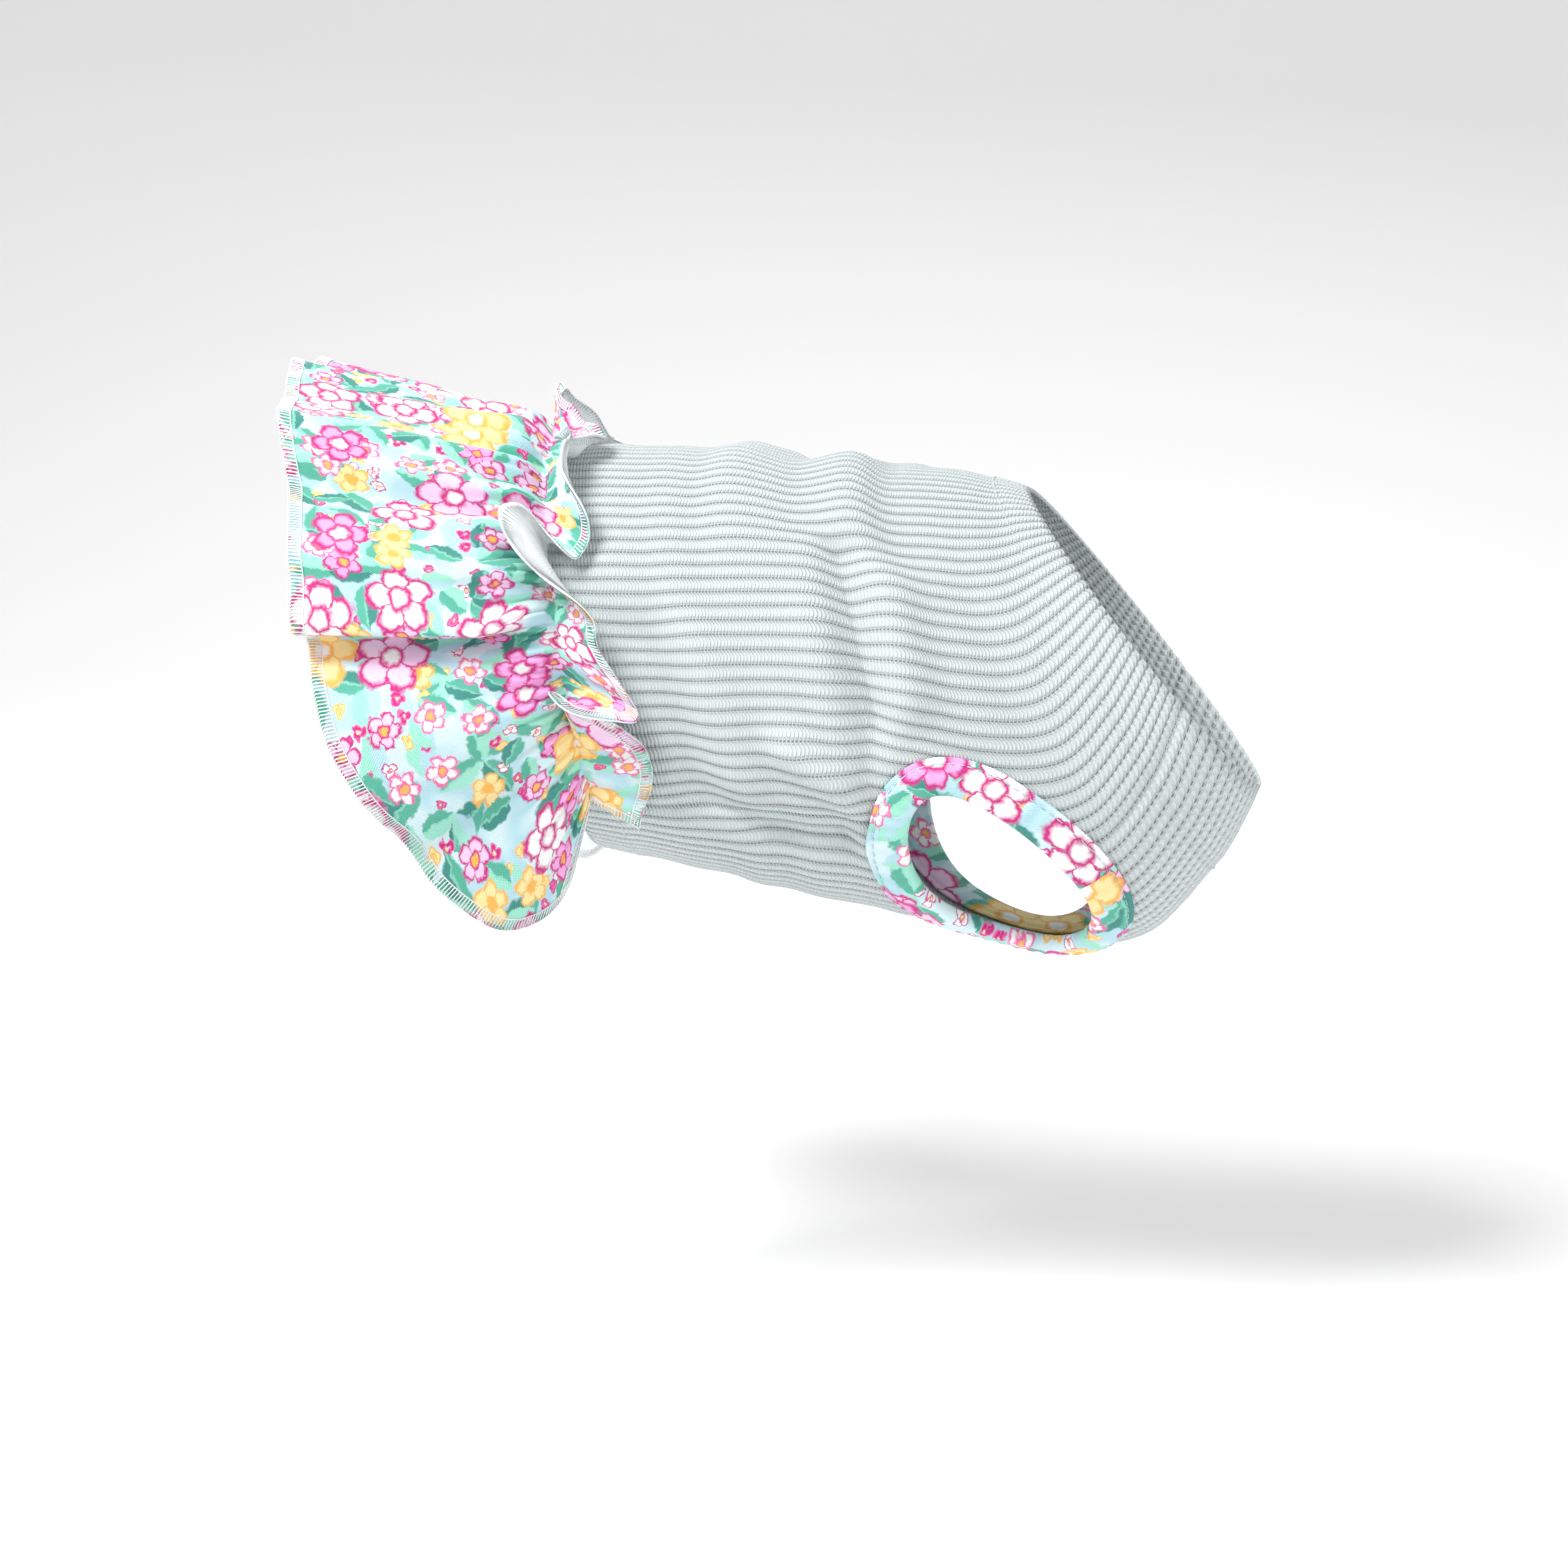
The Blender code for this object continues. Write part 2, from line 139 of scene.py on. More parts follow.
BODICE_FOLDS = [
    BodiceFold(0.40, 6, 0.38, 45, 1.0, 0.25),
    BodiceFold(0.50, 4, 0.50, 40, 0.9, -0.35),
    BodiceFold(0.62, 6, 0.60, 50, 1.0, 0.40),
    BodiceFold(0.73, 0, 0.70, 45, 1.0, -0.30),
    BodiceFold(0.58, 50, 0.57, 104, 0.8, -1.05),
    BodiceFold(0.66, 60, 0.62, 96, 0.9, 0.70),
    BodiceFold(0.50, 70, 0.49, 104, 0.9, 0.45),
    BodiceFold(0.17, 80, 0.21, 120, 1.3, -0.75),
    BodiceFold(0.28, 78, 0.30, 112, 1.0, 0.35),
    BodiceFold(0.53, 116, 0.42, 102, 0.7, 0.80),
    BodiceFold(0.52, 126, 0.32, 129, 0.8, -0.65),
    BodiceFold(0.42, -12, 0.42, -60, 1.1, 0.35),
    BodiceFold(0.55, -6, 0.54, -70, 0.9, -0.50),
    BodiceFold(0.66, -30, 0.60, -92, 1.0, 0.50),
    BodiceFold(0.20, -60, 0.24, -118, 1.3, -0.60),
    BodiceFold(0.32, -70, 0.32, -110, 1.0, 0.40),
    BodiceFold(0.52, -116, 0.40, -100, 0.9, 0.50),
]

FALLS = [
    Fall(0, 12, 0, 1.00),
    Fall(30, 15, 0, 0.97),
    Fall(60, 19, 0, 0.92),
    Fall(80, 24, 2, 0.92),
    Fall(92, 29, 9, 0.89),
    Fall(104, 33, 21, 0.78),
    Fall(116, 35, 43, 0.69),
    Fall(129, 36, 72, 0.73),
]

SKIRT_FOLDS = [
    SkirtFold(3, 8, 0.45, 0.0, 0.7),
    SkirtFold(20, 5, -0.30, 0.0, 0.5),
    SkirtFold(33, 8, 0.70, 0.2, 0.6),
    SkirtFold(48, 5, -0.35, 0.0, 0.5),
    SkirtFold(64, 8, 0.75, 0.5, 0.4),
    SkirtFold(73, 4, 0.70, 0.9, 0.3),
    SkirtFold(80, 4, -0.80, 0.0, 0.3),
    SkirtFold(95, 7, 0.60, 0.0, 0.5),
    SkirtFold(107, 4, -0.60, 0.0, 0.5),
    SkirtFold(118, 6, 0.30, 0.0, 0.8),
    SkirtFold(-19, 7, 0.70, -0.2, 0.6),
    SkirtFold(-33, 4, -0.45, 0.0, 0.5),
    SkirtFold(-47, 7, 0.85, -0.4, 0.5),
    SkirtFold(-59, 4, -0.65, 0.0, 0.4),
    SkirtFold(-74, 7, 0.85, -0.4, 0.5),
    SkirtFold(-88, 4, -0.60, 0.0, 0.4),
    SkirtFold(-101, 7, 0.80, 0.0, 0.5),
    SkirtFold(-112, 4, -0.50, 0.0, 0.5),
    SkirtFold(-121, 6, 0.30, 0.0, 0.8),
]

HEADING_KNOTS = [
    HeadingKnot(-129, -134, 0.70, 0.15),
    HeadingKnot(-115, -109, 0.95, 0.20),
    HeadingKnot(-103, -88, 0.00, 0.60),
    HeadingKnot(-91, -97, 0.90, 0.15),
    HeadingKnot(-82, -70, 0.05, 0.60),
    HeadingKnot(-68, -76, 0.85, 0.15),
    HeadingKnot(-57, -45, 0.00, 0.60),
    HeadingKnot(-43, -52, 0.80, 0.15),
    HeadingKnot(-32, -22, 0.05, 0.65),
    HeadingKnot(-20, -28, 0.80, 0.15),
    HeadingKnot(-10, -10, 0.15, 0.66),
    HeadingKnot(2, -1, 0.10, 0.66),
    HeadingKnot(12, 12, 0.80, 0.12),
    HeadingKnot(20, 27, 0.66, 0.14),
    HeadingKnot(28, 22, 0.42, 0.40),
    HeadingKnot(44, 48, 0.70, 0.12),
    HeadingKnot(51, 59, 0.40, 0.15),
    HeadingKnot(60, 51, -0.05, 0.60),
    HeadingKnot(72, 70, 0.55, 0.20),
    HeadingKnot(80, 82, 0.50, 0.25),
    HeadingKnot(92, 100, 0.90, 0.15),
    HeadingKnot(102, 92, 0.05, 0.58),
    HeadingKnot(115, 109, 0.98, 0.22),
    HeadingKnot(129, 134, 0.65, 0.15),
]


HEADING_CURLS = [
    Curl(-86, 7, 150),
    Curl(-62, 6, 140),
    Curl(-38, 7, 150),
    Curl(20, 5, 150),
    Curl(38, 6, 110),
    Curl(66, 7, 195),
    Curl(97, 5, 90),
]


def smooth(share: Array) -> Array:
    """0 to 1 as share goes from 0 to 1, with no slope at either end."""
    share = np.clip(share, 0.0, 1.0)
    return share * share * (3 - 2 * share)


def read_table(rows: Sequence[tuple], at: Array) -> Array:
    """Reads a table on a smooth curve through its rows.

    Args:
        rows: named rows, in rising order of their first column.
        at: values of the first column.

    Returns:
        One row of columns for each value.
    """
    table = np.array(rows, float)
    first = table[:, 0]
    count = len(table)
    low = np.maximum(np.arange(count) - 1, 0)
    high = np.minimum(np.arange(count) + 1, count - 1)
    slope = (table[high] - table[low]) / (first[high] - first[low])[:, None]
    i = np.clip(np.searchsorted(first, at, side="right") - 1, 0, count - 2)
    step = (first[i + 1] - first[i])[:, None]
    t = (at - first[i])[:, None] / step
    a, b = table[i], table[i + 1]
    ta, tb = slope[i] * step, slope[i + 1] * step
    return a + t * (ta + t * (3 * (b - a) - 2 * ta - tb + t * (2 * (a - b) + ta + tb)))


def unit(vectors: Array) -> Array:
    """Each vector at length 1."""
    return vectors / np.linalg.norm(vectors, axis=-1, keepdims=True)


def dots(a: Array, b: Array) -> Array:
    """The dot product of each pair of vectors."""
    return np.sum(a * b, axis=-1)


class Graph:
    """Short ways to add and join a material's shader nodes."""

    def __init__(self, name: str) -> None:
        """Starts a material with a plain shader."""
        self.material = bpy.data.materials.new(name)
        self.material.use_nodes = True
        self.tree = self.material.node_tree
        self.shader = self.tree.nodes["Principled BSDF"]

    def add(self, kind: str, **settings: object) -> bpy.types.Node:
        """A new node of a kind, with its settings."""
        node = self.tree.nodes.new(kind)
        for key, value in settings.items():
            setattr(node, key, value)
        return node

    def feed(self, socket: Socket, value: Value) -> None:
        """Joins a value to an input, or sets it there."""
        if isinstance(value, bpy.types.NodeSocket):
            self.tree.links.new(value, socket)
        else:
            socket.default_value = value

    def math(self, operation: str, *values: Value) -> Socket:
        """The result of a Math node."""
        node = self.add("ShaderNodeMath", operation=operation)
        for socket, value in zip(node.inputs, values):
            self.feed(socket, value)
        return node.outputs[0]

    def vector(self, operation: str, *values: object) -> bpy.types.Node:
        """A Vector Math node."""
        node = self.add("ShaderNodeVectorMath", operation=operation)
        for socket, value in zip(node.inputs, values):
            self.feed(socket, value)
        return node

    def mix(self, share: Value, low: object, high: object) -> Socket:
        """A colour between low and high."""
        node = self.add("ShaderNodeMix", data_type="RGBA")
        self.feed(node.inputs[0], share)
        self.feed(node.inputs[6], low)
        self.feed(node.inputs[7], high)
        return node.outputs[2]

    def steep(self, value: Value, sharpness: float) -> Socket:
        """0 below nought and 1 above it, over a step as narrow as sharpness is high."""
        node = self.add("ShaderNodeMath", operation="MULTIPLY_ADD", use_clamp=True)
        self.feed(node.inputs[0], value)
        node.inputs[1].default_value = sharpness
        node.inputs[2].default_value = 0.5
        return node.outputs[0]

    def split(self, vector: Socket) -> tuple[Socket, Socket, Socket]:
        """The three parts of a vector."""
        node = self.add("ShaderNodeSeparateXYZ")
        self.feed(node.inputs[0], vector)
        return node.outputs[0], node.outputs[1], node.outputs[2]

    def palette(self, at: Value, colours: Sequence[tuple[float, Colour]]) -> Socket:
        """One of some colours, each from its own place on."""
        node = self.add("ShaderNodeValToRGB")
        ramp = node.color_ramp
        ramp.interpolation = "CONSTANT"
        while len(ramp.elements) < len(colours):
            ramp.elements.new(0.5)
        for element, (place, colour) in zip(ramp.elements, colours):
            element.position = place
            element.color = colour
        self.feed(node.inputs[0], at)
        return node.outputs[0]

    def noise(self, vector: object, scale: float, detail: float = 2.0) -> bpy.types.Node:
        """A noise over a vector."""
        node = self.add("ShaderNodeTexNoise")
        self.feed(node.inputs["Vector"], vector)
        node.inputs["Scale"].default_value = scale
        node.inputs["Detail"].default_value = detail
        return node

    def finish(self, colour: object, height: Value, depth: float, roughness: float, sheen: float) -> None:
        """Sets the shader: its colour, the bump from a height, its roughness and its sheen."""
        self.feed(self.shader.inputs["Base Color"], colour)
        bump = self.add("ShaderNodeBump")
        bump.inputs["Distance"].default_value = depth
        bump.inputs["Strength"].default_value = 1.0
        self.feed(bump.inputs["Height"], height)
        self.feed(self.shader.inputs["Normal"], bump.outputs[0])
        self.shader.inputs["Roughness"].default_value = roughness
        self.shader.inputs["Sheen Weight"].default_value = sheen
        self.shader.inputs["Sheen Roughness"].default_value = 0.5


@dataclass(frozen=True)
class RibKnit:
    """The finish of the rib knit. Its UV counts ribs across and stitches along."""

    rib: Colour = (0.635, 0.695, 0.698, 1.0)
    # Painted shade colour, laid into the grooves and the gaps between stitches.
    groove_shade: Colour = (0.125, 0.168, 0.178, 1.0)
    bump: float = 0.0005
    roughness: float = 0.92
    sheen: float = 0.25

    def material(self, name: str) -> bpy.types.Material:
        """Ribs of slanted stitches, with painted shade: a row of dark dots in each groove and darker gaps between
        stitches.
        """
        g = Graph(name)
        uv = g.add("ShaderNodeUVMap", uv_map="cloth")
        across, along, _ = g.split(uv.outputs[0])
        place = g.math("FRACT", across)
        from_middle = g.math("MULTIPLY", g.math("ABSOLUTE", g.math("SUBTRACT", place, 0.5)), 2.0)
        slant = g.math("MULTIPLY", from_middle, 0.55)
        stitch = g.math("SINE", g.math("MULTIPLY", g.math("ADD", along, slant), 2 * math.pi))
        # Painted shade: each groove between ribs is darkened, most at a row of dots, with a fainter row of dots
        # beside it.
        groove = g.steep(g.math("SUBTRACT", from_middle, 0.86), 7.0)
        inner = g.math("SUBTRACT", 0.13, g.math("ABSOLUTE", g.math("SUBTRACT", from_middle, 0.62)))
        second = g.steep(g.math("SUBTRACT", inner, 0.05), 14.0)
        hole = g.steep(g.math("SUBTRACT", stitch, 0.15), 2.0)
        groove_shade_dots = g.math("MULTIPLY", groove, g.math("MULTIPLY_ADD", hole, 0.95, 0.05))
        faint_shade_dots = g.math("MULTIPLY", g.math("MULTIPLY", second, hole), 0.45)
        # Painted shade in the gaps between the slanted stitches.
        between = g.math("MULTIPLY", g.steep(g.math("SUBTRACT", -0.35, stitch), 1.6), 0.20)
        dark = g.math("MAXIMUM", g.math("MAXIMUM", groove_shade_dots, faint_shade_dots), between)
        fibre = g.noise(uv.outputs[0], 3.0, 3.0)
        worn = g.math("MULTIPLY_ADD", fibre.outputs[0], 0.16, -0.08)
        # The painted shade of grooves and gaps, with random tone of the fibres added.
        shade = g.math("ADD", g.math("MULTIPLY", dark, 0.80), worn)
        shade.node.use_clamp = True
        colour = g.mix(shade, self.rib, self.groove_shade)
        relief = g.math("MULTIPLY", stitch, g.math("MULTIPLY_ADD", from_middle, 0.35, 0.10))
        height = g.math("SUBTRACT", relief, g.math("MULTIPLY", dark, 1.0))
        g.finish(colour, height, self.bump, self.roughness, self.sheen)
        return g.material


@dataclass(frozen=True)
class Flowers:
    """A layer of scattered flowers: their spacing, size, petals, and the share of places filled."""

    spacing: float
    size: float
    petals: int
    filled: float
    seed: float
    petal_colours: tuple[tuple[float, Colour], ...]
    outline_colours: tuple[tuple[float, Colour], ...]
    centre: Colour


MAGENTA: Colour = (0.62, 0.022, 0.23, 1.0)
DEEP_PINK: Colour = (0.86, 0.16, 0.42, 1.0)
PINK: Colour = (0.95, 0.42, 0.80, 1.0)
LILAC: Colour = (0.93, 0.64, 0.88, 1.0)
WHITE: Colour = (0.94, 0.96, 0.95, 1.0)
BUTTER: Colour = (1.00, 0.80, 0.38, 1.0)
AMBER: Colour = (0.96, 0.50, 0.10, 1.0)
MINT: Colour = (0.36, 0.80, 0.64, 1.0)
TEAL: Colour = (0.10, 0.46, 0.34, 1.0)
DARK_TEAL: Colour = (0.05, 0.28, 0.24, 1.0)
AQUA: Colour = (0.48, 0.74, 0.83, 1.0)
PALE_AQUA: Colour = (0.68, 0.86, 0.90, 1.0)


@dataclass(frozen=True)
class PrintedCotton:
    """The finish of the printed cotton's right side. Its UV is the flat cloth, in metres."""

    thread: float = 0.00042
    bump: float = 0.00006
    roughness: float = 0.78
    sheen: float = 0.12
    layers: tuple[Flowers, ...] = (
        Flowers(
            0.0062, 0.34, 3, 0.42, 3.7,
            ((0.0, DEEP_PINK), (0.35, BUTTER), (0.6, MAGENTA), (0.8, WHITE)),
            ((0.0, MAGENTA), (0.35, AMBER), (0.6, DEEP_PINK), (0.8, MAGENTA)), BUTTER,
        ),
        Flowers(
            0.0125, 0.42, 5, 0.62, 11.3,
            ((0.0, WHITE), (0.42, LILAC), (0.62, BUTTER), (0.82, PINK)),
            ((0.0, DEEP_PINK), (0.42, MAGENTA), (0.62, AMBER), (0.82, MAGENTA)), AMBER,
        ),
        Flowers(
            0.0235, 0.43, 5, 0.55, 27.9,
            ((0.0, PINK), (0.34, WHITE), (0.58, BUTTER), (0.80, LILAC)),
            ((0.0, MAGENTA), (0.34, MAGENTA), (0.58, AMBER), (0.80, MAGENTA)), WHITE,
        ),
    )

    def scatter(self, g: Graph, uv: Socket, spacing: float, seed: float) -> tuple:
        """Cells of a spacing: the vector from each one's middle, and three random numbers for it."""
        scaled = g.vector("SCALE", uv)
        scaled.inputs["Scale"].default_value = 1 / spacing
        moved = g.vector("ADD", scaled.outputs[0], (seed, seed * 0.37, 0.0))
        cells = g.add("ShaderNodeTexVoronoi", voronoi_dimensions="2D", feature="F1")
        cells.inputs["Scale"].default_value = 1.0
        cells.inputs["Randomness"].default_value = 0.72
        g.feed(cells.inputs["Vector"], moved.outputs[0])
        local = g.vector("SUBTRACT", moved.outputs[0], cells.outputs["Position"])
        return local.outputs[0], g.split(cells.outputs["Color"])

    def leaves(self, g: Graph, uv: Socket, under: Socket, spacing: float, seed: float) -> Socket:
        """Pointed leaves, turned at random, over the colours under them."""
        local, (turn, kind, present) = self.scatter(g, uv, spacing, seed)
        rotated = g.add("ShaderNodeVectorRotate", rotation_type="Z_AXIS")
        g.feed(rotated.inputs["Vector"], local)
        g.feed(rotated.inputs["Angle"], g.math("MULTIPLY", turn, 2 * math.pi))
        x, y, _ = g.split(rotated.outputs[0])
        blade = g.math("MULTIPLY", g.math("POWER", g.math("DIVIDE", x, 0.58), 2.0), 0.30)
        inside = g.math("SUBTRACT", g.math("SUBTRACT", 0.30, blade), g.math("ABSOLUTE", y))
        leaf = g.math("MULTIPLY", g.steep(inside, 16.0), g.steep(g.math("SUBTRACT", present, 0.30), 900.0))
        vein = g.steep(g.math("SUBTRACT", 0.030, g.math("ABSOLUTE", y)), 30.0)
        body = g.palette(kind, ((0.0, MINT), (0.45, TEAL), (0.78, AQUA)))
        half = g.mix(g.steep(y, 12.0), body, g.palette(kind, ((0.0, TEAL), (0.45, DARK_TEAL), (0.78, MINT))))
        return g.mix(leaf, under, g.mix(g.math("MULTIPLY", vein, 0.6), half, MINT))

    def flowers(self, g: Graph, uv: Socket, under: Socket, layer: Flowers) -> Socket:
        """One layer of flowers over the colours under it."""
        local, (turn, kind, present) = self.scatter(g, uv, layer.spacing, layer.seed)
        x, y, _ = g.split(local)
        angle = g.math("MULTIPLY_ADD", turn, 2 * math.pi, g.math("ARCTAN2", y, x))
        radius = g.vector("LENGTH", local).outputs["Value"]
        petal = g.math("ABSOLUTE", g.math("COSINE", g.math("MULTIPLY", angle, layer.petals / 2)))
        shape = g.math("MULTIPLY_ADD", g.math("POWER", petal, 0.6), 0.42, 0.58)
        edge = g.math("MULTIPLY", g.math("MULTIPLY", shape, layer.size), g.math("MULTIPLY_ADD", kind, 0.3, 0.85))
        inside = g.math("SUBTRACT", edge, radius)
        chosen = g.steep(g.math("SUBTRACT", present, 1 - layer.filled), 900.0)
        bloom = g.math("MULTIPLY", g.steep(inside, 18.0), chosen)
        within = g.math("SUBTRACT", inside, 0.075)
        flesh = g.steep(within, 18.0)
        streak = g.steep(g.math("SUBTRACT", 0.16, petal), 8.0)
        outer = g.palette(kind, layer.outline_colours)
        inner = g.mix(g.math("MULTIPLY", streak, 0.85), g.palette(kind, layer.petal_colours), outer)
        ring = g.steep(g.math("SUBTRACT", layer.size * 0.36, radius), 20.0)
        eye = g.steep(g.math("SUBTRACT", layer.size * 0.22, radius), 20.0)
        inner = g.mix(ring, inner, outer)
        inner = g.mix(eye, inner, layer.centre)
        return g.mix(bloom, under, g.mix(flesh, outer, inner))

    def material(self, name: str) -> bpy.types.Material:
        """A painted scatter of flowers and leaves on pale aqua."""
        g = Graph(name)
        flat = g.add("ShaderNodeUVMap", uv_map="cloth").outputs[0]
        brush = g.noise(flat, 420.0, 2.0)
        drift = g.vector("SUBTRACT", brush.outputs["Color"], (0.5, 0.5, 0.5))
        small = g.vector("SCALE", drift.outputs[0])
        small.inputs["Scale"].default_value = 0.0030
        uv = g.vector("ADD", flat, small.outputs[0]).outputs[0]
        wash = g.noise(flat, 70.0, 1.0)
        colour = g.mix(g.steep(g.math("SUBTRACT", wash.outputs[0], 0.52), 9.0), PALE_AQUA, AQUA)
        colour = self.leaves(g, uv, colour, 0.0140, 5.1)
        colour = self.flowers(g, uv, colour, self.layers[0])
        colour = self.leaves(g, uv, colour, 0.0105, 19.3)
        for layer in self.layers[1:]:
            colour = self.flowers(g, uv, colour, layer)
        height = weave_height(g, flat, self.thread)
        g.finish(colour, height, self.bump, self.roughness, self.sheen)
        return g.material


def weave_height(g: Graph, uv: Socket, thread: float) -> Socket:
    """The height of a plain weave over flat cloth."""
    x, y, _ = g.split(uv)
    warp = g.math("SINE", g.math("MULTIPLY", x, math.pi / thread))
    weft = g.math("SINE", g.math("MULTIPLY", y, math.pi / thread))
    return g.math("MULTIPLY", warp, weft)


@dataclass(frozen=True)
class WhiteCotton:
    """The cotton's wrong side: white, with the print showing through a little."""

    base: Colour = (0.86, 0.89, 0.90, 1.0)
    shown: Colour = (0.74, 0.83, 0.86, 1.0)
    thread: float = 0.00042
    bump: float = 0.00006
    roughness: float = 0.85
    sheen: float = 0.12

    def material(self, name: str) -> bpy.types.Material:
        """White cloth with faint patches."""
        g = Graph(name)
        flat = g.add("ShaderNodeUVMap", uv_map="cloth").outputs[0]
        patches = g.noise(flat, 190.0, 2.0)
        colour = g.mix(g.steep(g.math("SUBTRACT", patches.outputs[0], 0.58), 6.0), self.base, self.shown)
        g.finish(colour, weave_height(g, flat, self.thread), self.bump, self.roughness, self.sheen)
        return g.material


@dataclass(frozen=True)
class SewingThread:
    """Twisted polyester thread."""

    colour: Colour = (0.88, 0.90, 0.90, 1.0)
    roughness: float = 0.55

    def material(self, name: str) -> bpy.types.Material:
        """Thread with a fine twist."""
        g = Graph(name)
        place = g.add("ShaderNodeTexCoord").outputs["Object"]
        twist = g.noise(place, 2600.0, 1.0)
        worn = g.mix(twist.outputs[0], self.colour, tuple(c * 0.92 for c in self.colour[:3]) + (1.0,))
        g.finish(worn, twist.outputs[0], 0.00004, self.roughness, 0.1)
        return g.material


def cloth_grid(
    name: str,
    columns: int,
    rows: int,
    point_at: Surface,
    flat_at: Surface,
    inside: Surface | None = None,
    turned: bool = False,
) -> bpy.types.Object:
    """A grid laid over a surface, with the flat cloth as its UV.

    Args:
        name: the piece's name.
        columns: faces from u 0 to 1.
        rows: faces from v 0 to 1.
        point_at: the surface's points at arrays of u and v.
        flat_at: the flat cloth's two coordinates at u and v.
        inside: says at which u and v the cloth is cut away, if it is.
        turned: whether the right side is the one that u and v run round the other way.

    Returns:
        The new object, one wall thick.
    """
    mesh = bpy.data.meshes.new(name)
    grid = bmesh.new()
    bmesh.ops.create_grid(grid, x_segments=columns, y_segments=rows, size=0.5)
    corners = np.array([vertex.co.to_tuple() for vertex in grid.verts])
    u, v = corners[:, 0] + 0.5, corners[:, 1] + 0.5
    points = point_at(u, v)
    flat = flat_at(u, v)
    cut = inside(u, v) if inside else np.zeros(len(u), bool)
    layer = grid.loops.layers.uv.new("cloth")
    for vertex, point in zip(grid.verts, points):
        vertex.co = point
    for face in grid.faces:
        for loop in face.loops:
            loop[layer].uv = flat[loop.vert.index]
    gone = [face for face in grid.faces if any(cut[vertex.index] for vertex in face.verts)]
    bmesh.ops.delete(grid, geom=gone, context="FACES")
    if turned:
        bmesh.ops.reverse_faces(grid, faces=grid.faces)
    grid.to_mesh(mesh)
    grid.free()
    mesh.shade_smooth()
    piece = bpy.data.objects.new(name, mesh)
    bpy.context.scene.collection.objects.link(piece)
    return piece


def thicken(piece: bpy.types.Object, wall: float, finishes: Sequence[bpy.types.Material]) -> None:
    """Gives a sheet its wall, centred on it: the first finish outside and the last one inside."""
    for finish in finishes:
        piece.data.materials.append(finish)
    wall_maker = piece.modifiers.new("wall", "SOLIDIFY")
    wall_maker.thickness = wall
    wall_maker.offset = 0.0
    wall_maker.material_offset = len(finishes) - 1
    wall_maker.material_offset_rim = len(finishes) - 1


def thread_piece(name: str, paths: Sequence[Array], radius: float, finish: bpy.types.Material) -> bpy.types.Object:
    """Stitches as thin tubes along short paths, in one mesh."""
    curve = bpy.data.curves.new(name + "_path", "CURVE")
    curve.dimensions = "3D"
    curve.bevel_depth = radius
    curve.bevel_resolution = 0
    curve.use_fill_caps = True
    for path in paths:
        spline = curve.splines.new("POLY")
        spline.points.add(len(path) - 1)
        spline.points.foreach_set("co", np.column_stack([path, np.ones(len(path))]).ravel())
    maker = bpy.data.objects.new(name + "_path", curve)
    bpy.context.scene.collection.objects.link(maker)
    graph = bpy.context.evaluated_depsgraph_get()
    mesh = bpy.data.meshes.new_from_object(maker.evaluated_get(graph))
    bpy.data.objects.remove(maker)
    bpy.data.curves.remove(curve)
    mesh.shade_smooth()
    mesh.materials.clear()
    mesh.materials.append(finish)
    piece = bpy.data.objects.new(name, mesh)
    bpy.context.scene.collection.objects.link(piece)
    return piece


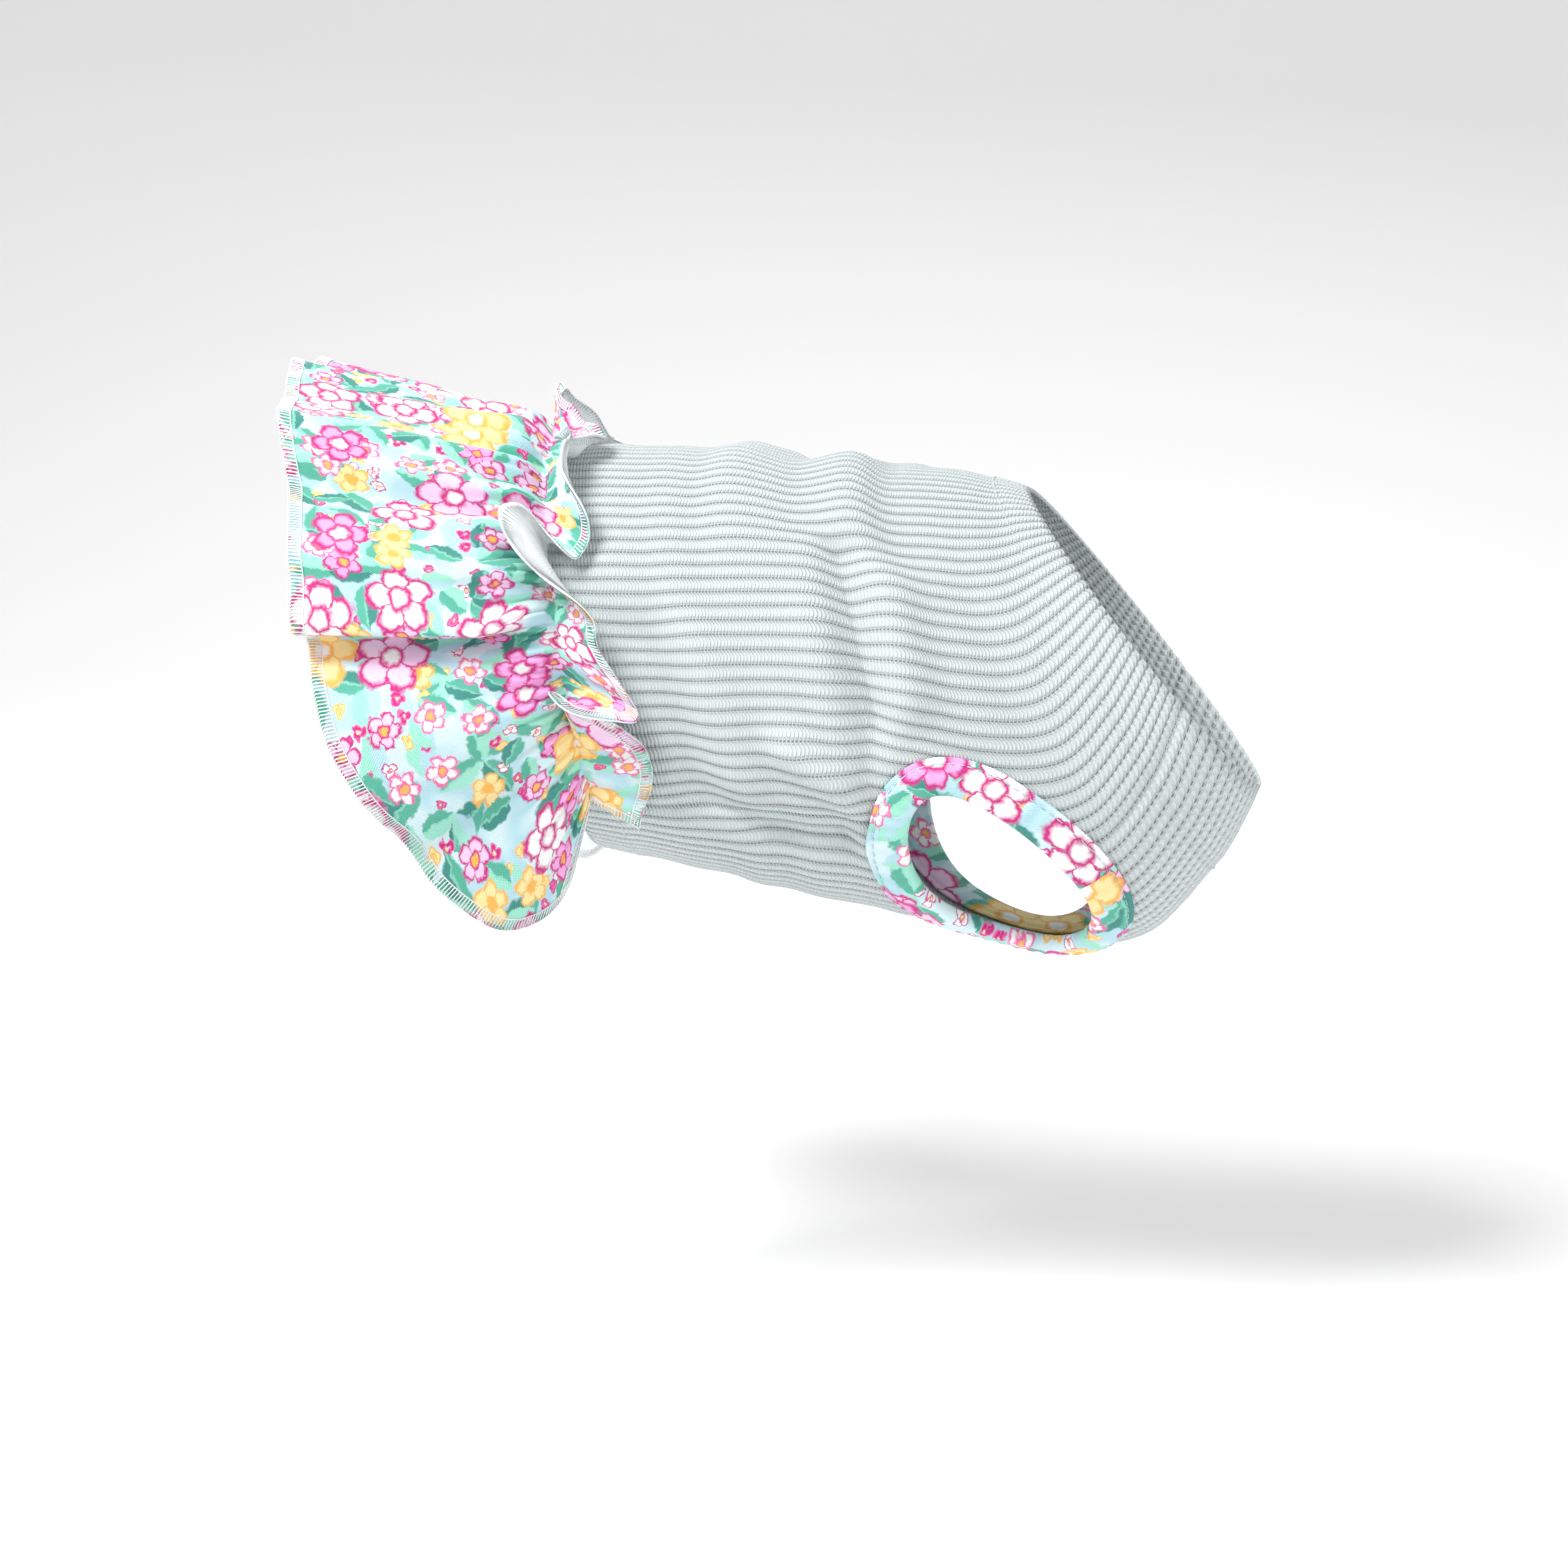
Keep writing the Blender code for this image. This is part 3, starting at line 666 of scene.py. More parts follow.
@dataclass
class Bodice:
    """The rib knit body of the dress, made of a back panel and a belly panel."""

    back_length: float = 0.141
    chest_depth: float = 0.140
    chest_width: float = 0.104
    wall: float = 0.0012
    fold_height: float = 0.0060
    fold_width: float = 0.0085
    ripple: float = 0.00045
    armhole_length: float = 0.050
    armhole_height: float = 0.065
    armhole_tilt: float = 10.0
    armhole_at: float = 0.69
    armhole_angle: float = 135.0
    binding_width: float = 0.0095
    gather_at: float = 0.035
    yarn_wall: float = 0.0009
    rib_height: float = 0.00042
    stitch_length: float = 0.0011
    back_ribs: int = 66
    belly_ribs: int = 28
    columns_per_rib: int = 8
    rows: int = 76
    hem_width: float = 0.010
    finish: RibKnit = field(default_factory=RibKnit)

    def ring(self, along: Array, angle: Array) -> Array:
        """The unfolded inner face of the knit."""
        row = read_table(STATIONS, along)
        _, top_x, top_z, bottom_x, bottom_z, half_width, _ = row.T
        top_x, bottom_x = top_x * self.back_length, bottom_x * self.back_length
        top_z, bottom_z = top_z * self.chest_depth, bottom_z * self.chest_depth
        turn = np.radians(angle)
        x = (top_x + bottom_x) / 2 + (top_x - bottom_x) / 2 * np.cos(turn)
        z = (top_z + bottom_z) / 2 + (top_z - bottom_z) / 2 * np.cos(turn)
        return np.column_stack([x, -half_width * self.chest_width * np.sin(turn), z])

    def axes(self, point_at: Surface, along: Array, angle: Array) -> tuple[Array, Array, Array]:
        """How a surface moves per unit of along and per degree, and its outward normal."""
        step, turn = 0.004, 0.5
        forward = (point_at(along + step, angle) - point_at(along - step, angle)) / (2 * step)
        around = (point_at(along, angle + turn) - point_at(along, angle - turn)) / (2 * turn)
        return forward, around, unit(np.cross(around, forward))

    def armhole_middle(self) -> tuple[float, float]:
        """Metres per unit of along and per degree at the armhole's middle."""
        forward, around, _ = self.axes(self.ring, np.array([self.armhole_at]), np.array([self.armhole_angle]))
        return float(np.linalg.norm(forward)), float(np.linalg.norm(around))

    def armhole_place(self, turn: Array, side: Side) -> tuple[Array, Array]:
        """Along and angle of the knit's cut edge at turns round the armhole, in radians."""
        forward, around = self.armhole_middle()
        reach = self.armhole_length / 2 * np.cos(turn)
        rise = self.armhole_height / 2 * np.sin(turn)
        tilt = -math.radians(self.armhole_tilt)
        along = (reach * math.cos(tilt) - rise * math.sin(tilt)) / forward
        angle = (reach * math.sin(tilt) + rise * math.cos(tilt)) / around
        return self.armhole_at + along, side.value * (self.armhole_angle + angle)

    def past_armhole(self, along: Array, angle: Array) -> Array:
        """Roughly how far a place lies outside the nearest armhole's cut edge, in metres."""
        forward, around = self.armhole_middle()
        reach = (along - self.armhole_at) * forward
        rise = (np.abs(angle) - self.armhole_angle) * around
        share = np.hypot(reach / (self.armhole_length / 2), rise / (self.armhole_height / 2))
        return (share - 1) * min(self.armhole_length, self.armhole_height) / 2

    def within_armhole(self, along: Array, angle: Array) -> Array:
        """Whether a place is cut away, with its tilt taken in."""
        forward, around = self.armhole_middle()
        reach = (along - self.armhole_at) * forward
        rise = (np.abs(angle) - self.armhole_angle) * around
        tilt = -math.radians(self.armhole_tilt)
        across = reach * math.cos(tilt) + rise * math.sin(tilt)
        down = -reach * math.sin(tilt) + rise * math.cos(tilt)
        return np.hypot(across / (self.armhole_length / 2), down / (self.armhole_height / 2)) < 1.0

    def fold(self, along: Array, angle: Array) -> Array:
        """How far the folds lift the knit off its rings."""
        around = math.radians(1) * (self.chest_depth + self.chest_width) / 4
        place = np.column_stack([along * self.back_length, angle * around])
        height = np.zeros(len(along))
        for row in BODICE_FOLDS:
            start = np.array([row.from_along * self.back_length, row.from_angle * around])
            line = np.array([row.to_along * self.back_length, row.to_angle * around]) - start
            share = np.clip((place - start) @ line / (line @ line), 0.0, 1.0)
            off = np.linalg.norm(place - start - share[:, None] * line, axis=1) / (row.width * self.fold_width)
            height += row.height * self.fold_height * np.exp(-off * off)
        run = along * 52 + 0.9 * np.sin(np.radians(angle) * 2.3)
        height += self.ripple * np.sin(run) * (0.6 + 0.4 * np.sin(run * 0.37 + np.radians(angle) * 3.1))
        edges = smooth((along - self.gather_at) / 0.12) * smooth((1 - along) / 0.10)
        clear = smooth((self.past_armhole(along, angle) - self.binding_width) / self.binding_width)
        return height * edges * clear

    def knit(self, along: Array, angle: Array) -> Array:
        """The inner face of the knit, folds included."""
        angle = (angle + 180) % 360 - 180
        _, _, normal = self.axes(self.ring, along, angle)
        return self.ring(along, angle) + normal * self.fold(along, angle)[:, None]

    def place(self, along: Array, angle: Array, height: Array) -> Array:
        """Points at heights outside the inner face of the knit."""
        _, _, normal = self.axes(self.knit, along, angle)
        return self.knit(along, angle) + normal * np.broadcast_to(height, along.shape)[:, None]

    def step_over(self, along: Array, angle: Array, way: Array) -> tuple[Array, Array]:
        """Along and angle after going way, vectors in the surface, from places on the knit."""
        forward, around, _ = self.axes(self.ring, along, angle)
        ff, fa, aa = dots(forward, forward), dots(forward, around), dots(around, around)
        scale = ff * aa - fa * fa
        wf, wa = dots(way, forward), dots(way, around)
        return along + (wf * aa - wa * fa) / scale, angle + (wa * ff - wf * fa) / scale

    def seam_angle(self, along: Array) -> Array:
        """The angle of the right side seam."""
        return read_table(STATIONS, along)[:, 6]

    def panel_angle(self, back: bool, u: Array, v: Array) -> Array:
        """The angle at a share u across one of the panels."""
        edge = self.seam_angle(v)
        first, last = (-edge, edge) if back else (edge, 360 - edge)
        return first + (last - first) * u

    def knit_height(self, ribs: int, u: Array, v: Array) -> Array:
        """The middle of the yarn's wall: ribs, the rolled seams and the turned hems."""
        from_middle = np.abs((u * ribs) % 1.0 - 0.5) * 2
        rib = self.rib_height * (0.55 - from_middle**3.5)
        seam_share = 0.9 / ribs
        roll = -0.0006 * (1 - smooth(np.minimum(u, 1 - u) / seam_share))
        hem_share = self.hem_width / self.back_length
        near_edge = np.minimum(v * 1.0, (1 - v) * 1.35)
        hem = 0.0004 * (1 - smooth((near_edge - hem_share) / 0.012))
        turned = -0.0005 * (1 - smooth(near_edge / 0.008))
        return self.wall / 2 + rib + roll + hem + turned

    def panel(self, name: str, back: bool, finish: bpy.types.Material) -> bpy.types.Object:
        """A knit panel with its ribs, cut away at the armholes."""
        ribs = self.back_ribs if back else self.belly_ribs

        def point_at(u: Array, v: Array) -> Array:
            angle = self.panel_angle(back, u, v)
            return self.place(v, angle, self.knit_height(ribs, u, v))

        def flat_at(u: Array, v: Array) -> Array:
            length = self.back_length * 1.25
            return np.column_stack([u * ribs, v * length / self.stitch_length])

        def cut_away(u: Array, v: Array) -> Array:
            angle = (self.panel_angle(back, u, v) + 180) % 360 - 180
            return self.within_armhole(v, angle)

        piece = cloth_grid(name, ribs * self.columns_per_rib, self.rows, point_at, flat_at, cut_away)
        thicken(piece, self.yarn_wall, [finish])
        return piece

    def seam_stitches(self, name: str, side: Side, finish: bpy.types.Material) -> bpy.types.Object:
        """Short stitches that draw the two panels together along a side seam."""
        along = np.linspace(0.01, 0.99, 170)
        angle = side.value * self.seam_angle(along)
        keep = self.past_armhole(along, angle) > self.binding_width * 0.6
        forward, around, _ = self.axes(self.ring, along, angle)
        reach = 0.0011
        paths = []
        for i in np.nonzero(keep)[0]:
            across = np.array([-reach, 0.0, reach]) / np.linalg.norm(around[i])
            lean = np.array([-0.0004, 0.0, 0.0004]) / np.linalg.norm(forward[i])
            height = np.array([0.0006, 0.0011, 0.0006])
            paths.append(self.place(along[i] + lean, angle[i] + across, height))
        return thread_piece(name, paths, 0.00016, finish)

    def hem_stitches(self, name: str, at: float, finish: bpy.types.Material) -> bpy.types.Object:
        """A row of stitches round the body, at a share along it."""
        seam = float(self.seam_angle(np.array([at]))[0])
        count = 150
        paths = []
        for i in range(count):
            start = -180 + 360 * i / count
            angle = start + np.array([0.0, 0.55, 1.05, 1.6])
            if abs(abs(angle.mean()) - seam) < 1.4:
                continue
            along = np.full(4, at)
            paths.append(self.place(along, angle, np.array([0.0009, 0.00165, 0.00165, 0.0009])))
        return thread_piece(name, paths, 0.00017, finish)

    def build(self, thread: bpy.types.Material) -> list[bpy.types.Object]:
        """Makes both panels and the stitches in them."""
        knit = self.finish.material("rib_knit")
        tonal = SewingThread(colour=(0.60, 0.70, 0.69, 1.0)).material("tonal_thread")
        back = self.panel("back_panel_knit", True, knit)
        belly = self.panel("belly_panel_knit", False, knit)
        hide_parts("back_panel")
        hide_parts("belly_panel")
        trims = [
            self.seam_stitches("side_seam_right", Side.RIGHT, tonal),
            self.seam_stitches("side_seam_left", Side.LEFT, tonal),
            self.hem_stitches("neck_hem_stitches", 1 - 0.9 * self.hem_width / self.back_length, tonal),
            self.hem_stitches("waist_hem_stitches", 0.9 * self.hem_width / self.back_length, tonal),
        ]
        for piece in (back, belly, *trims):
            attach(piece, "root")
        return [back, belly, *trims]


@dataclass
class ArmholeBinding:
    """The printed strip that is folded over an armhole's cut edge and stitched down."""

    bodice: Bodice
    side: Side
    wall: float = 0.0007
    middle: float = 0.0013
    columns: int = 220
    rows: int = 70
    stitch_count: int = 78
    stitch_inset: float = 0.0016

    def point(self, turn: Array, out: Array, height: Array) -> Array:
        """Points of the binding: out is how far it lies over the knit from the cut edge."""
        body, side = self.bodice, self.side
        along, angle = body.armhole_place(turn, side)
        after = body.ring(*body.armhole_place(turn + 0.02, side))
        before = body.ring(*body.armhole_place(turn - 0.02, side))
        _, _, normal = body.axes(body.ring, along, angle)
        outward = side.value * unit(np.cross(normal, after - before))
        along, angle = body.step_over(along, angle, outward * out[:, None])
        return body.place(along, angle, height)

    def section(self, v: Array) -> tuple[Array, Array]:
        """Out and height round the fold, from the outer flap's edge at 0 to the inner one's at 1."""
        above, below = self.bodice.wall + self.middle, -self.middle
        centre = (above + below) / 2
        radius = (above - below) / 2
        turn = np.clip((v - 0.42) / 0.16, 0, 1) * np.pi
        flap = np.where(v < 0.5, smooth((0.42 - v) / 0.42), smooth((v - 0.58) / 0.42))
        straight = np.where(v < 0.42, (0.42 - v) / 0.42, np.where(v > 0.58, (v - 0.58) / 0.42, 0.0))
        out = straight * self.bodice.binding_width - self.middle * np.sin(turn)
        height = centre + radius * np.cos(turn)
        line = 1 - self.stitch_inset / self.bodice.binding_width
        dent = 0.0005 * np.exp(-(((straight - line) / 0.055) ** 2))
        swell = 0.0005 * np.sin(np.pi * straight) - 0.00045 * smooth((flap - 0.9) / 0.1) - dent
        return out, height + np.where(v < 0.5, swell, -swell)

    def build(self, cotton: bpy.types.Material, thread: bpy.types.Material) -> list[bpy.types.Object]:
        """Makes the binding and its edge stitching."""
        name = "armhole_binding_" + self.side.name.lower()
        length = 2 * math.pi * math.hypot(self.bodice.armhole_length, self.bodice.armhole_height) / 2.83
        offset = 0.3 if self.side is Side.RIGHT else 0.71

        def point_at(u: Array, v: Array) -> Array:
            turn = self.side.value * 2 * math.pi * u
            out, height = self.section(v)
            pucker = 0.00022 * np.sin(u * 2 * math.pi * 47) * np.sin(np.pi * np.clip(v / 0.42, 0, 1))
            return self.point(turn, out, height + pucker)

        def flat_at(u: Array, v: Array) -> Array:
            return np.column_stack([u * length + offset, v * 0.024 + offset])

        piece = cloth_grid(name + "_cotton", self.columns, self.rows, point_at, flat_at)
        mesh = bmesh.new()
        mesh.from_mesh(piece.data)
        bmesh.ops.remove_doubles(mesh, verts=mesh.verts, dist=1e-6)
        mesh.to_mesh(piece.data)
        mesh.free()
        thicken(piece, self.wall, [cotton])
        paths = []
        inset = self.bodice.binding_width - self.stitch_inset
        for i in range(self.stitch_count):
            turn = self.side.value * 2 * math.pi * (i + np.array([0.0, 0.12, 0.58, 0.70])) / self.stitch_count
            height = self.bodice.wall + self.middle + np.array([-0.0004, 0.00045, 0.00045, -0.0004])
            paths.append(self.point(turn, np.full(4, inset), height))
        stitches = thread_piece(name + "_stitches", paths, 0.00018, thread)
        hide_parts(name)
        for part in (piece, stitches):
            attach(part, "root")
        return [piece, stitches]


@dataclass
class GatheredSkirt:
    """The printed strip gathered round the waist: a skirt behind the seam, a ruffle before it."""

    bodice: Bodice
    length: float = 0.077
    heading: float = 0.0205
    corner_radius: float = 0.042
    fullness: float = 2.0
    cad_wall: float = 0.001
    gap: float = 0.0003
    wall: float = 0.00045
    end_angle: float = 129.0
    gathers: int = 24
    gather_height: float = 0.0052
    gather_reach: float = 0.030
    curl_start: float = 0.42
    puff: float = 0.0035
    fold_height: float = 0.0085
    columns: int = 720
    fall_rows: int = 66
    heading_rows: int = 26
    overlock_width: float = 0.0036
    overlock_step: float = 0.00105

    def fall_length(self, angle: Array) -> Array:
        """From the gathering line to the hem, shorter where the strip's corner is rounded."""
        from_end = (self.end_angle - np.abs(angle)) * self.metres_per_degree() * self.fullness
        inside = np.minimum(from_end, self.corner_radius) - self.corner_radius
        cut_away = self.corner_radius - np.sqrt(self.corner_radius**2 - inside**2)
        return self.length * read_table(FALLS, np.abs(angle))[:, 3] - cut_away

    def metres_per_degree(self) -> float:
        """How far the gathering line runs per degree at the side."""
        _, around, _ = self.bodice.axes(self.bodice.ring, np.array([self.bodice.gather_at]), np.array([90.0]))
        return float(np.linalg.norm(around))

    def directions(self, angle: Array) -> tuple[Array, Array, Array]:
        """The way the skirt runs, the outward normal and the seam's tangent."""
        at = np.full(len(angle), self.bodice.gather_at)
        _, around, normal = self.bodice.axes(self.bodice.ring, at, angle)
        level = np.array([0.0, 1.0, 1.0])
        outward, tangent = unit(normal * level), unit(around * level)
        _, flare, fan, _ = read_table(FALLS, np.abs(angle)).T
        flare, fan = np.radians(flare), np.radians(fan)
        side = np.where(angle >= 0, 1.0, -1.0)
        back = tangent * (side * np.sin(fan))[:, None]
        back[:, 0] -= np.cos(fan)
        return back * np.cos(flare)[:, None] + outward * np.sin(flare)[:, None], outward, tangent

    def long_folds(self, angle: Array, share: Array) -> tuple[Array, Array]:
        """How far the long folds lift the skirt, and carry it along the seam."""
        height, lap = np.zeros(len(angle)), np.zeros(len(angle))
        for row in SKIRT_FOLDS:
            off = (angle - row.angle) / row.spread
            full = smooth(share / row.rise) * np.exp(-off * off) * self.fold_height
            height += row.height * full
            lap += row.lap * full
        return height, lap

    def gather(self, angle: Array) -> Array:
        """The height of the gathers on the seam."""
        wave = np.cos(np.pi * (angle / self.end_angle + 1) * self.gathers)
        uneven = 0.8 + 0.2 * np.sin(angle * 0.61 + 1.3)
        return self.gather_height * uneven * ((1 + wave) / 2) ** 0.65

    def pleats(self, angle: Array, reach: Array) -> Array:
        """Fine creases between the gathers, fading towards the hem."""
        fine = np.sin(angle * 2.05 + 0.8 * np.sin(angle * 0.31)) + 0.6 * np.sin(angle * 3.3 + 1.7)
        slow = np.sin(angle * 0.47 + 0.9) * np.sin(angle * 0.173)
        near = np.exp(-((reach / 0.016) ** 2)) * smooth(reach / 0.004)
        return 0.0008 * fine * near + 0.0009 * slow * smooth(reach / 0.02)

    def point(self, angle: Array, share: Array) -> Array:
        """The middle of the strip: 0 on the gathering line, 1 at the hem, -1 at the heading's edge."""
        body = self.bodice
        foot = body.wall + self.gap + self.cad_wall / 2
        seat = body.place(np.full(len(angle), body.gather_at), angle, foot)
        direction, outward, tangent = self.directions(angle)
        gather = self.gather(angle)
        reach = np.maximum(share, 0) * self.fall_length(angle)
        near = np.exp(-((reach / self.gather_reach) ** 2)) * (0.35 + 0.65 * smooth(reach / 0.008))
        puff = self.puff * (1 - np.exp(-reach / 0.005))
        height, lap = self.long_folds(angle, np.maximum(share, 0))
        lift = puff + gather * np.abs(direction[:, 0]) * near + height + self.pleats(angle, reach)
        skirt = seat + direction * reach[:, None] + outward * lift[:, None] + tangent * lap[:, None]
        return np.where((share >= 0)[:, None], skirt, self.ruffle(angle, np.maximum(-share, 0), foot + gather * 0.35))

    def ruffle(self, angle: Array, rise: Array, foot: Array) -> Array:
        """The middle of the heading, 0 on the gathering line and 1 at its free edge."""
        body = self.bodice
        _, edge_angle, forward_share, out = read_table(HEADING_KNOTS, angle).T
        forward, _, _ = body.axes(body.ring, np.full(len(angle), body.gather_at), angle)
        along = body.gather_at + forward_share * rise * self.heading / np.linalg.norm(forward, axis=1)
        lapped = angle + (edge_angle - angle) * rise**1.4
        flutter = 0.0006 * np.sin(angle * 1.31 + 0.7) * smooth(rise)
        turn = np.zeros(len(angle))
        for row in HEADING_CURLS:
            turn += np.radians(row.turn) * np.exp(-(((angle - row.angle) / row.spread) ** 2))
        turn = np.maximum(turn, 0.01)
        rolled = np.clip((rise - self.curl_start) / (1 - self.curl_start), 0, 1)
        radius = (1 - self.curl_start) * self.heading / turn
        saved = rolled * turn * radius - radius * np.sin(rolled * turn)
        along = along - saved / np.linalg.norm(forward, axis=1)
        curl = radius * (1 - np.cos(rolled * turn))
        return body.place(along, lapped, foot + out * rise * self.heading + flutter + curl)

    def flat_area(self) -> float:
        """The area of the flat strip, with its rounded corners and narrower ends."""
        angle = np.linspace(-self.end_angle, self.end_angle, 500)
        width = self.heading + self.fall_length(angle)
        return float(width.mean() * 2 * self.end_angle * self.metres_per_degree() * self.fullness)

    def share_at(self, v: Array) -> Array:
        """The share of the fall or, below 0, of the heading, at a share v across the strip."""
        split = self.heading_rows / (self.heading_rows + self.fall_rows)
        return np.where(v < split, v / split - 1, (v - split) / (1 - split))

    def flat(self, angle: Array, share: Array) -> Array:
        """Where a place of the strip lies on the flat cloth, in metres."""
        x = angle * self.metres_per_degree() * self.fullness
        y = np.where(share < 0, share * self.heading, share * self.fall_length(angle))
        return np.column_stack([x + 0.5, y + 0.5])

    def edge_paths(self) -> list[Array]:
        """The strip's outline, as runs of places: angle, share and the way inwards."""
        ends = self.end_angle
        angle = np.linspace(-ends, ends, 4000)
        shares = np.linspace(-1, 1, 600)
        return [
            np.column_stack([angle, np.full(4000, 1.0)]),
            np.column_stack([angle, np.full(4000, -1.0)]),
            np.column_stack([np.full(600, -ends), shares]),
            np.column_stack([np.full(600, ends), shares]),
        ]

    def inward(self, places: Array, distance: Array) -> Array:
        """Places a distance in from the strip's edges, over its flat cloth."""
        angle, share = places[:, 0], places[:, 1]
        scale = np.where(share < 0, self.heading, self.fall_length(angle))
        on_end = np.abs(angle) >= self.end_angle - 1e-6
        inner_share = np.where(on_end, share, share - np.sign(share) * distance / scale)
        turn = distance / (self.metres_per_degree() * self.fullness)
        inner_angle = np.where(on_end, angle - np.sign(angle) * turn, angle)
        return np.column_stack([inner_angle, inner_share])

    def offset_point(self, places: Array, lift: Array) -> Array:
        """Points off the strip's middle at places on it, with lift towards its right side."""
        angle, share = places[:, 0], places[:, 1]
        step, turn = 0.004, 0.05
        across = self.point(angle, np.clip(share + step, -1, 1)) - self.point(angle, np.clip(share - step, -1, 1))
        around = self.point(angle + turn, share) - self.point(angle - turn, share)
        normal = unit(np.cross(across, around))
        return self.point(angle, share) + normal * np.broadcast_to(lift, angle.shape)[:, None]

    def overlock(self, name: str, finish: bpy.types.Material) -> bpy.types.Object:
        """Loops of thread over the strip's edges, and the needle's line at their feet."""
        paths: list[Array] = []
        for edge in self.edge_paths():
            points = self.point(edge[:, 0], edge[:, 1])
            run = np.concatenate([[0], np.cumsum(np.linalg.norm(np.diff(points, axis=0), axis=1))])
            count = int(run[-1] / self.overlock_step)
            stops = (np.arange(count) + 0.5) * self.overlock_step
            places = np.column_stack([np.interp(stops, run, edge[:, k]) for k in range(2)])
            after = np.column_stack([np.interp(stops + self.overlock_step * 0.8, run, edge[:, k]) for k in range(2)])
            half = self.wall / 2
            feet = self.inward(places, self.overlock_width)
            rows = [
                self.offset_point(feet, half + 0.0001),
                self.offset_point(self.inward(places, self.overlock_width * 0.5), half + 0.00024),
                self.offset_point(self.inward(places, 0.0003), half + 0.00022),
                self.offset_point(self.inward(after, -0.0002), 0.0),
                self.offset_point(self.inward(after, 0.0006), -half - 0.00020),
                self.offset_point(self.inward(after, self.overlock_width * 0.9), -half - 0.0001),
            ]
            paths.extend(np.stack(rows, axis=1))
            line = self.offset_point(feet, half + 0.00016)
            paths.extend(line[i:i + 3] for i in range(0, len(line) - 2, 2))
        return thread_piece(name, paths, 0.00019, finish)

    def build(self, cotton: bpy.types.Material, thread: bpy.types.Material) -> list[bpy.types.Object]:
        """Makes the strip and its overlocked edges."""
        wrong_side = WhiteCotton().material("white_cotton")

        def point_at(u: Array, v: Array) -> Array:
            return self.point((2 * u - 1) * self.end_angle, self.share_at(v))

        def flat_at(u: Array, v: Array) -> Array:
            return self.flat((2 * u - 1) * self.end_angle, self.share_at(v))

        rows = self.fall_rows + self.heading_rows
        strip = cloth_grid("gathered_skirt_cotton", self.columns, rows, point_at, flat_at, turned=True)
        thicken(strip, self.wall, [cotton, wrong_side])
        edges = self.overlock("skirt_overlock", thread)
        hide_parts("gathered_skirt")
        for piece in (strip, edges):
            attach(piece, "root")
        length = 2 * self.end_angle * self.metres_per_degree() * self.fullness
        self.flat_area()
        return [strip, edges]


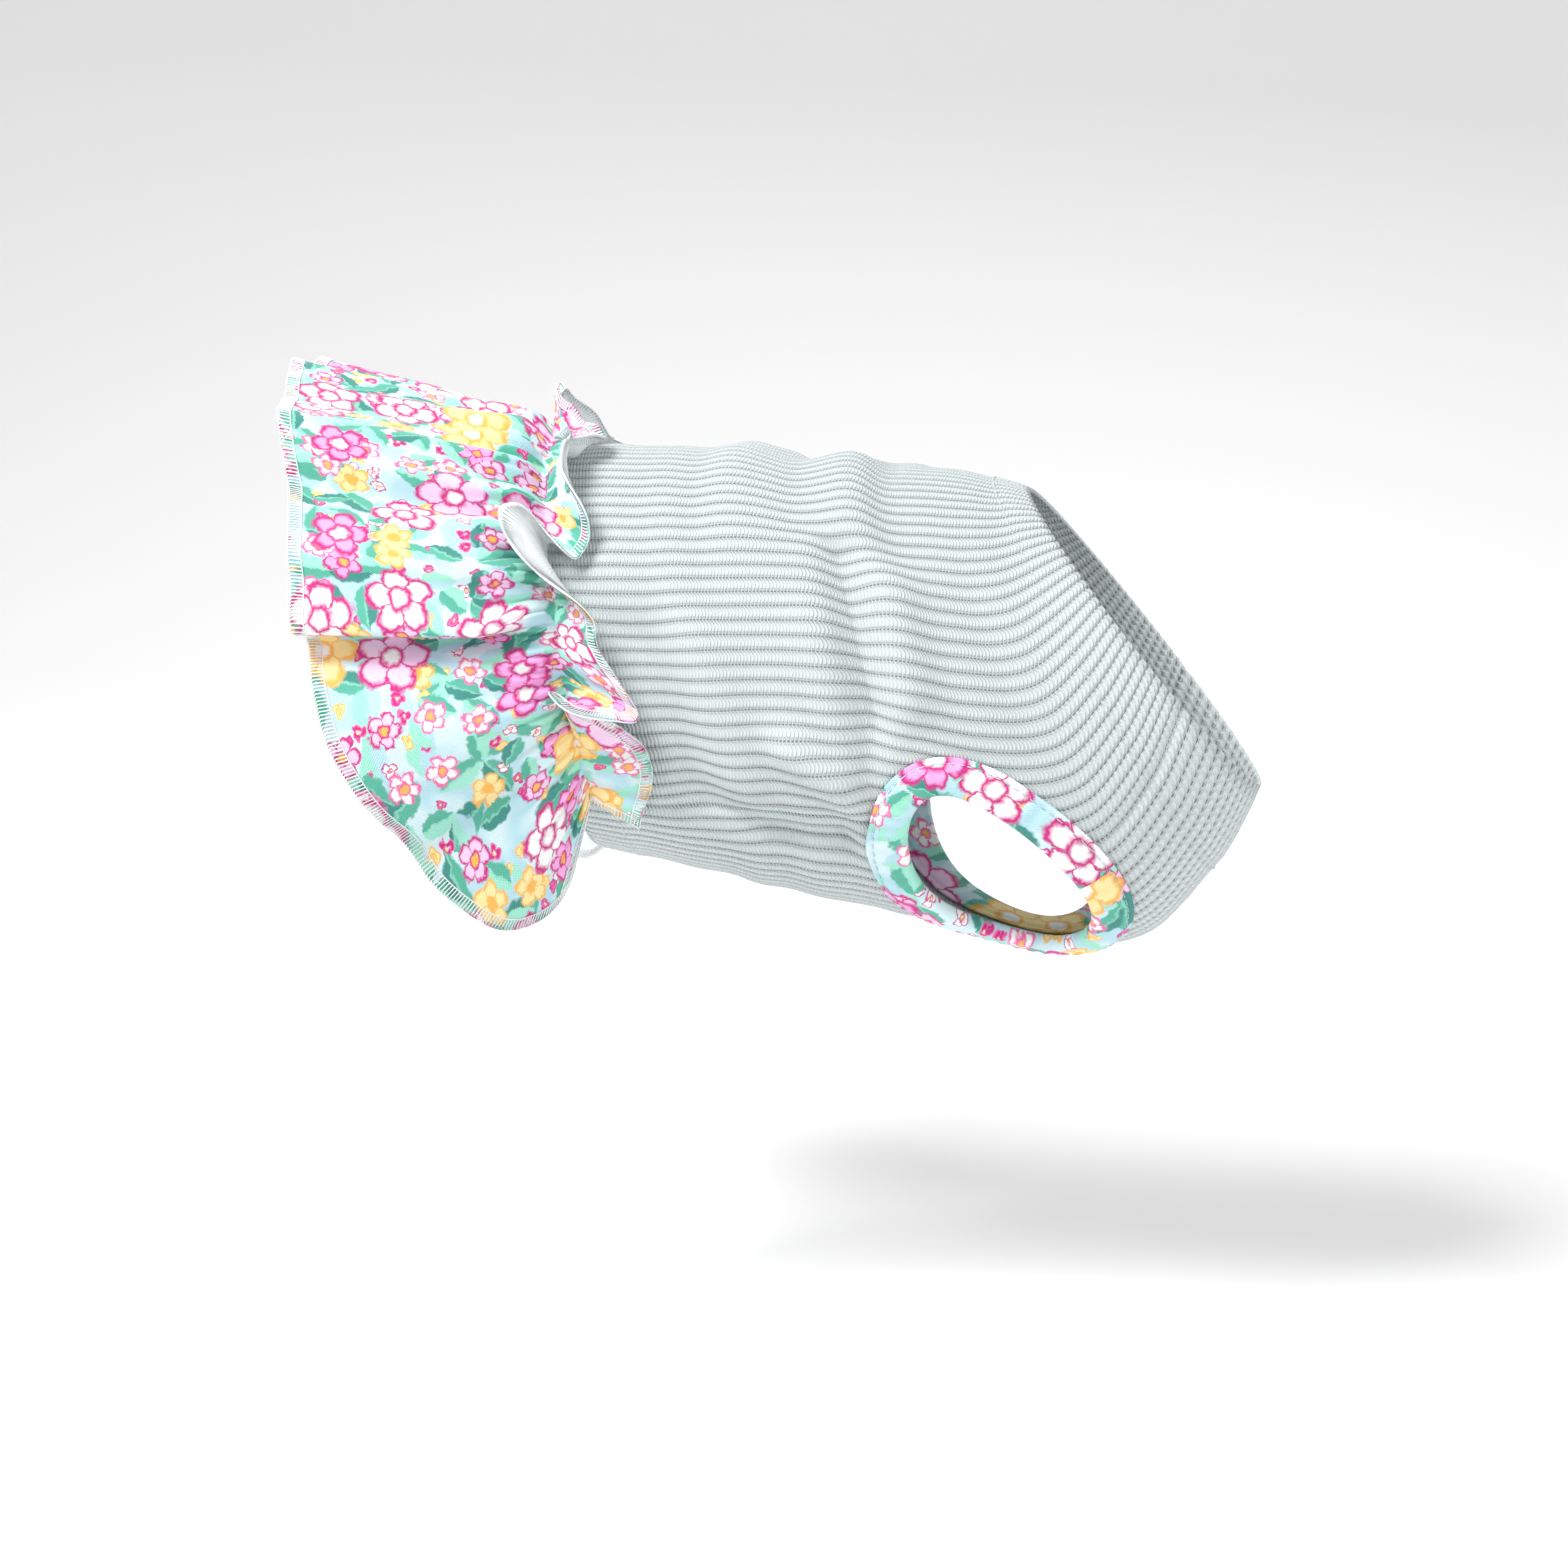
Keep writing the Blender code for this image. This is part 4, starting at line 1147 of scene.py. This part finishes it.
@dataclass
class Studio:
    """A pale sweep, soft lights and the camera."""

    floor_z: float = -0.252
    azimuth: float = 6.0
    elevation: float = 10.0
    distance: float = 1.2
    lens: float = 96.4
    aim_right: float = 0.0011
    aim_up: float = -0.0937

    def sweep(self) -> bpy.types.Object:
        """A floor that curves up into a backdrop."""
        mesh = bpy.data.meshes.new("sweep")
        grid = bmesh.new()
        bmesh.ops.create_grid(grid, x_segments=8, y_segments=48, size=4.0)
        bend, radius = 1.0, 1.2
        for vertex in grid.verts:
            past = min(max(vertex.co.y - bend, 0.0), radius * math.pi / 2)
            rest = max(vertex.co.y - bend - radius * math.pi / 2, 0.0)
            turn = past / radius
            y = min(vertex.co.y, bend) + radius * math.sin(turn)
            z = radius * (1 - math.cos(turn)) + rest
            vertex.co = (vertex.co.x, y, self.floor_z + z)
        grid.to_mesh(mesh)
        grid.free()
        mesh.shade_smooth()
        g = Graph("pale_paper")
        place = g.add("ShaderNodeTexCoord").outputs["Object"]
        g.finish((0.78, 0.78, 0.78, 1.0), g.noise(place, 400.0).outputs[0], 0.00002, 0.95, 0.0)
        g.shader.inputs["Emission Color"].default_value = (1.0, 1.0, 1.0, 1.0)
        g.shader.inputs["Emission Strength"].default_value = 0.10
        mesh.materials.append(g.material)
        sweep = bpy.data.objects.new("sweep", mesh)
        bpy.context.scene.collection.objects.link(sweep)
        return sweep

    def light(self, name: str, at: tuple[float, float, float], size: float, watts: float) -> None:
        """A square soft light that shines at the dress."""
        data = bpy.data.lights.new(name, "AREA")
        data.size = size
        data.energy = watts
        lamp = bpy.data.objects.new(name, data)
        lamp.location = at
        lamp.rotation_euler = (Vector((0, 0, -0.07)) - Vector(at)).to_track_quat("-Z", "Y").to_euler()
        bpy.context.scene.collection.objects.link(lamp)

    def camera(self) -> None:
        """The camera at the photo's angle."""
        turn, rise = math.radians(self.azimuth), math.radians(self.elevation)
        right = Vector((math.cos(turn), math.sin(turn), 0))
        up = Vector((-math.sin(turn) * math.sin(rise), math.cos(turn) * math.sin(rise), math.cos(rise)))
        back = right.cross(up)
        data = bpy.data.cameras.new("camera")
        data.lens = self.lens
        data.sensor_width = 36.0
        camera = bpy.data.objects.new("camera", data)
        aim = right * self.aim_right + up * self.aim_up
        camera.location = aim + back * self.distance
        camera.rotation_euler = back.to_track_quat("Z", "Y").to_euler()
        bpy.context.scene.collection.objects.link(camera)
        bpy.context.scene.camera = camera

    def build(self) -> None:
        """Sets up the sweep, the lights, the world and the camera."""
        self.sweep()
        self.light("key", (-0.75, -0.80, 1.20), 0.6, 31.0)
        self.light("fill", (1.3, -1.2, 0.45), 1.2, 8.0)
        self.light("rim", (0.1, 1.1, 0.9), 1.2, 8.0)
        world = bpy.data.worlds.new("studio")
        world.use_nodes = True
        background = world.node_tree.nodes["Background"]
        background.inputs[0].default_value = (1.0, 1.0, 1.0, 1.0)
        background.inputs[1].default_value = 0.46
        bpy.context.scene.world = world
        bpy.context.scene.view_settings.view_transform = "Standard"
        self.camera()


def main() -> None:
    """Builds the studio and the dress, and reports each piece."""
    logging.basicConfig(level=logging.INFO, format="%(name)s: %(message)s")
    Studio().build()
    thread = SewingThread().material("white_thread")
    cotton = PrintedCotton().material("printed_cotton")
    bodice = Bodice()
    pieces = bodice.build(thread)
    edge_thread = SewingThread(colour=(0.50, 0.66, 0.70, 1.0)).material("aqua_thread")
    for side in Side:
        pieces += ArmholeBinding(bodice, side).build(cotton, edge_thread)
    pieces += GatheredSkirt(bodice).build(cotton, thread)
    for piece in pieces:
        log.info("%s has %d faces", piece.name, len(piece.data.polygons))


if __name__ == "__main__":
    main()
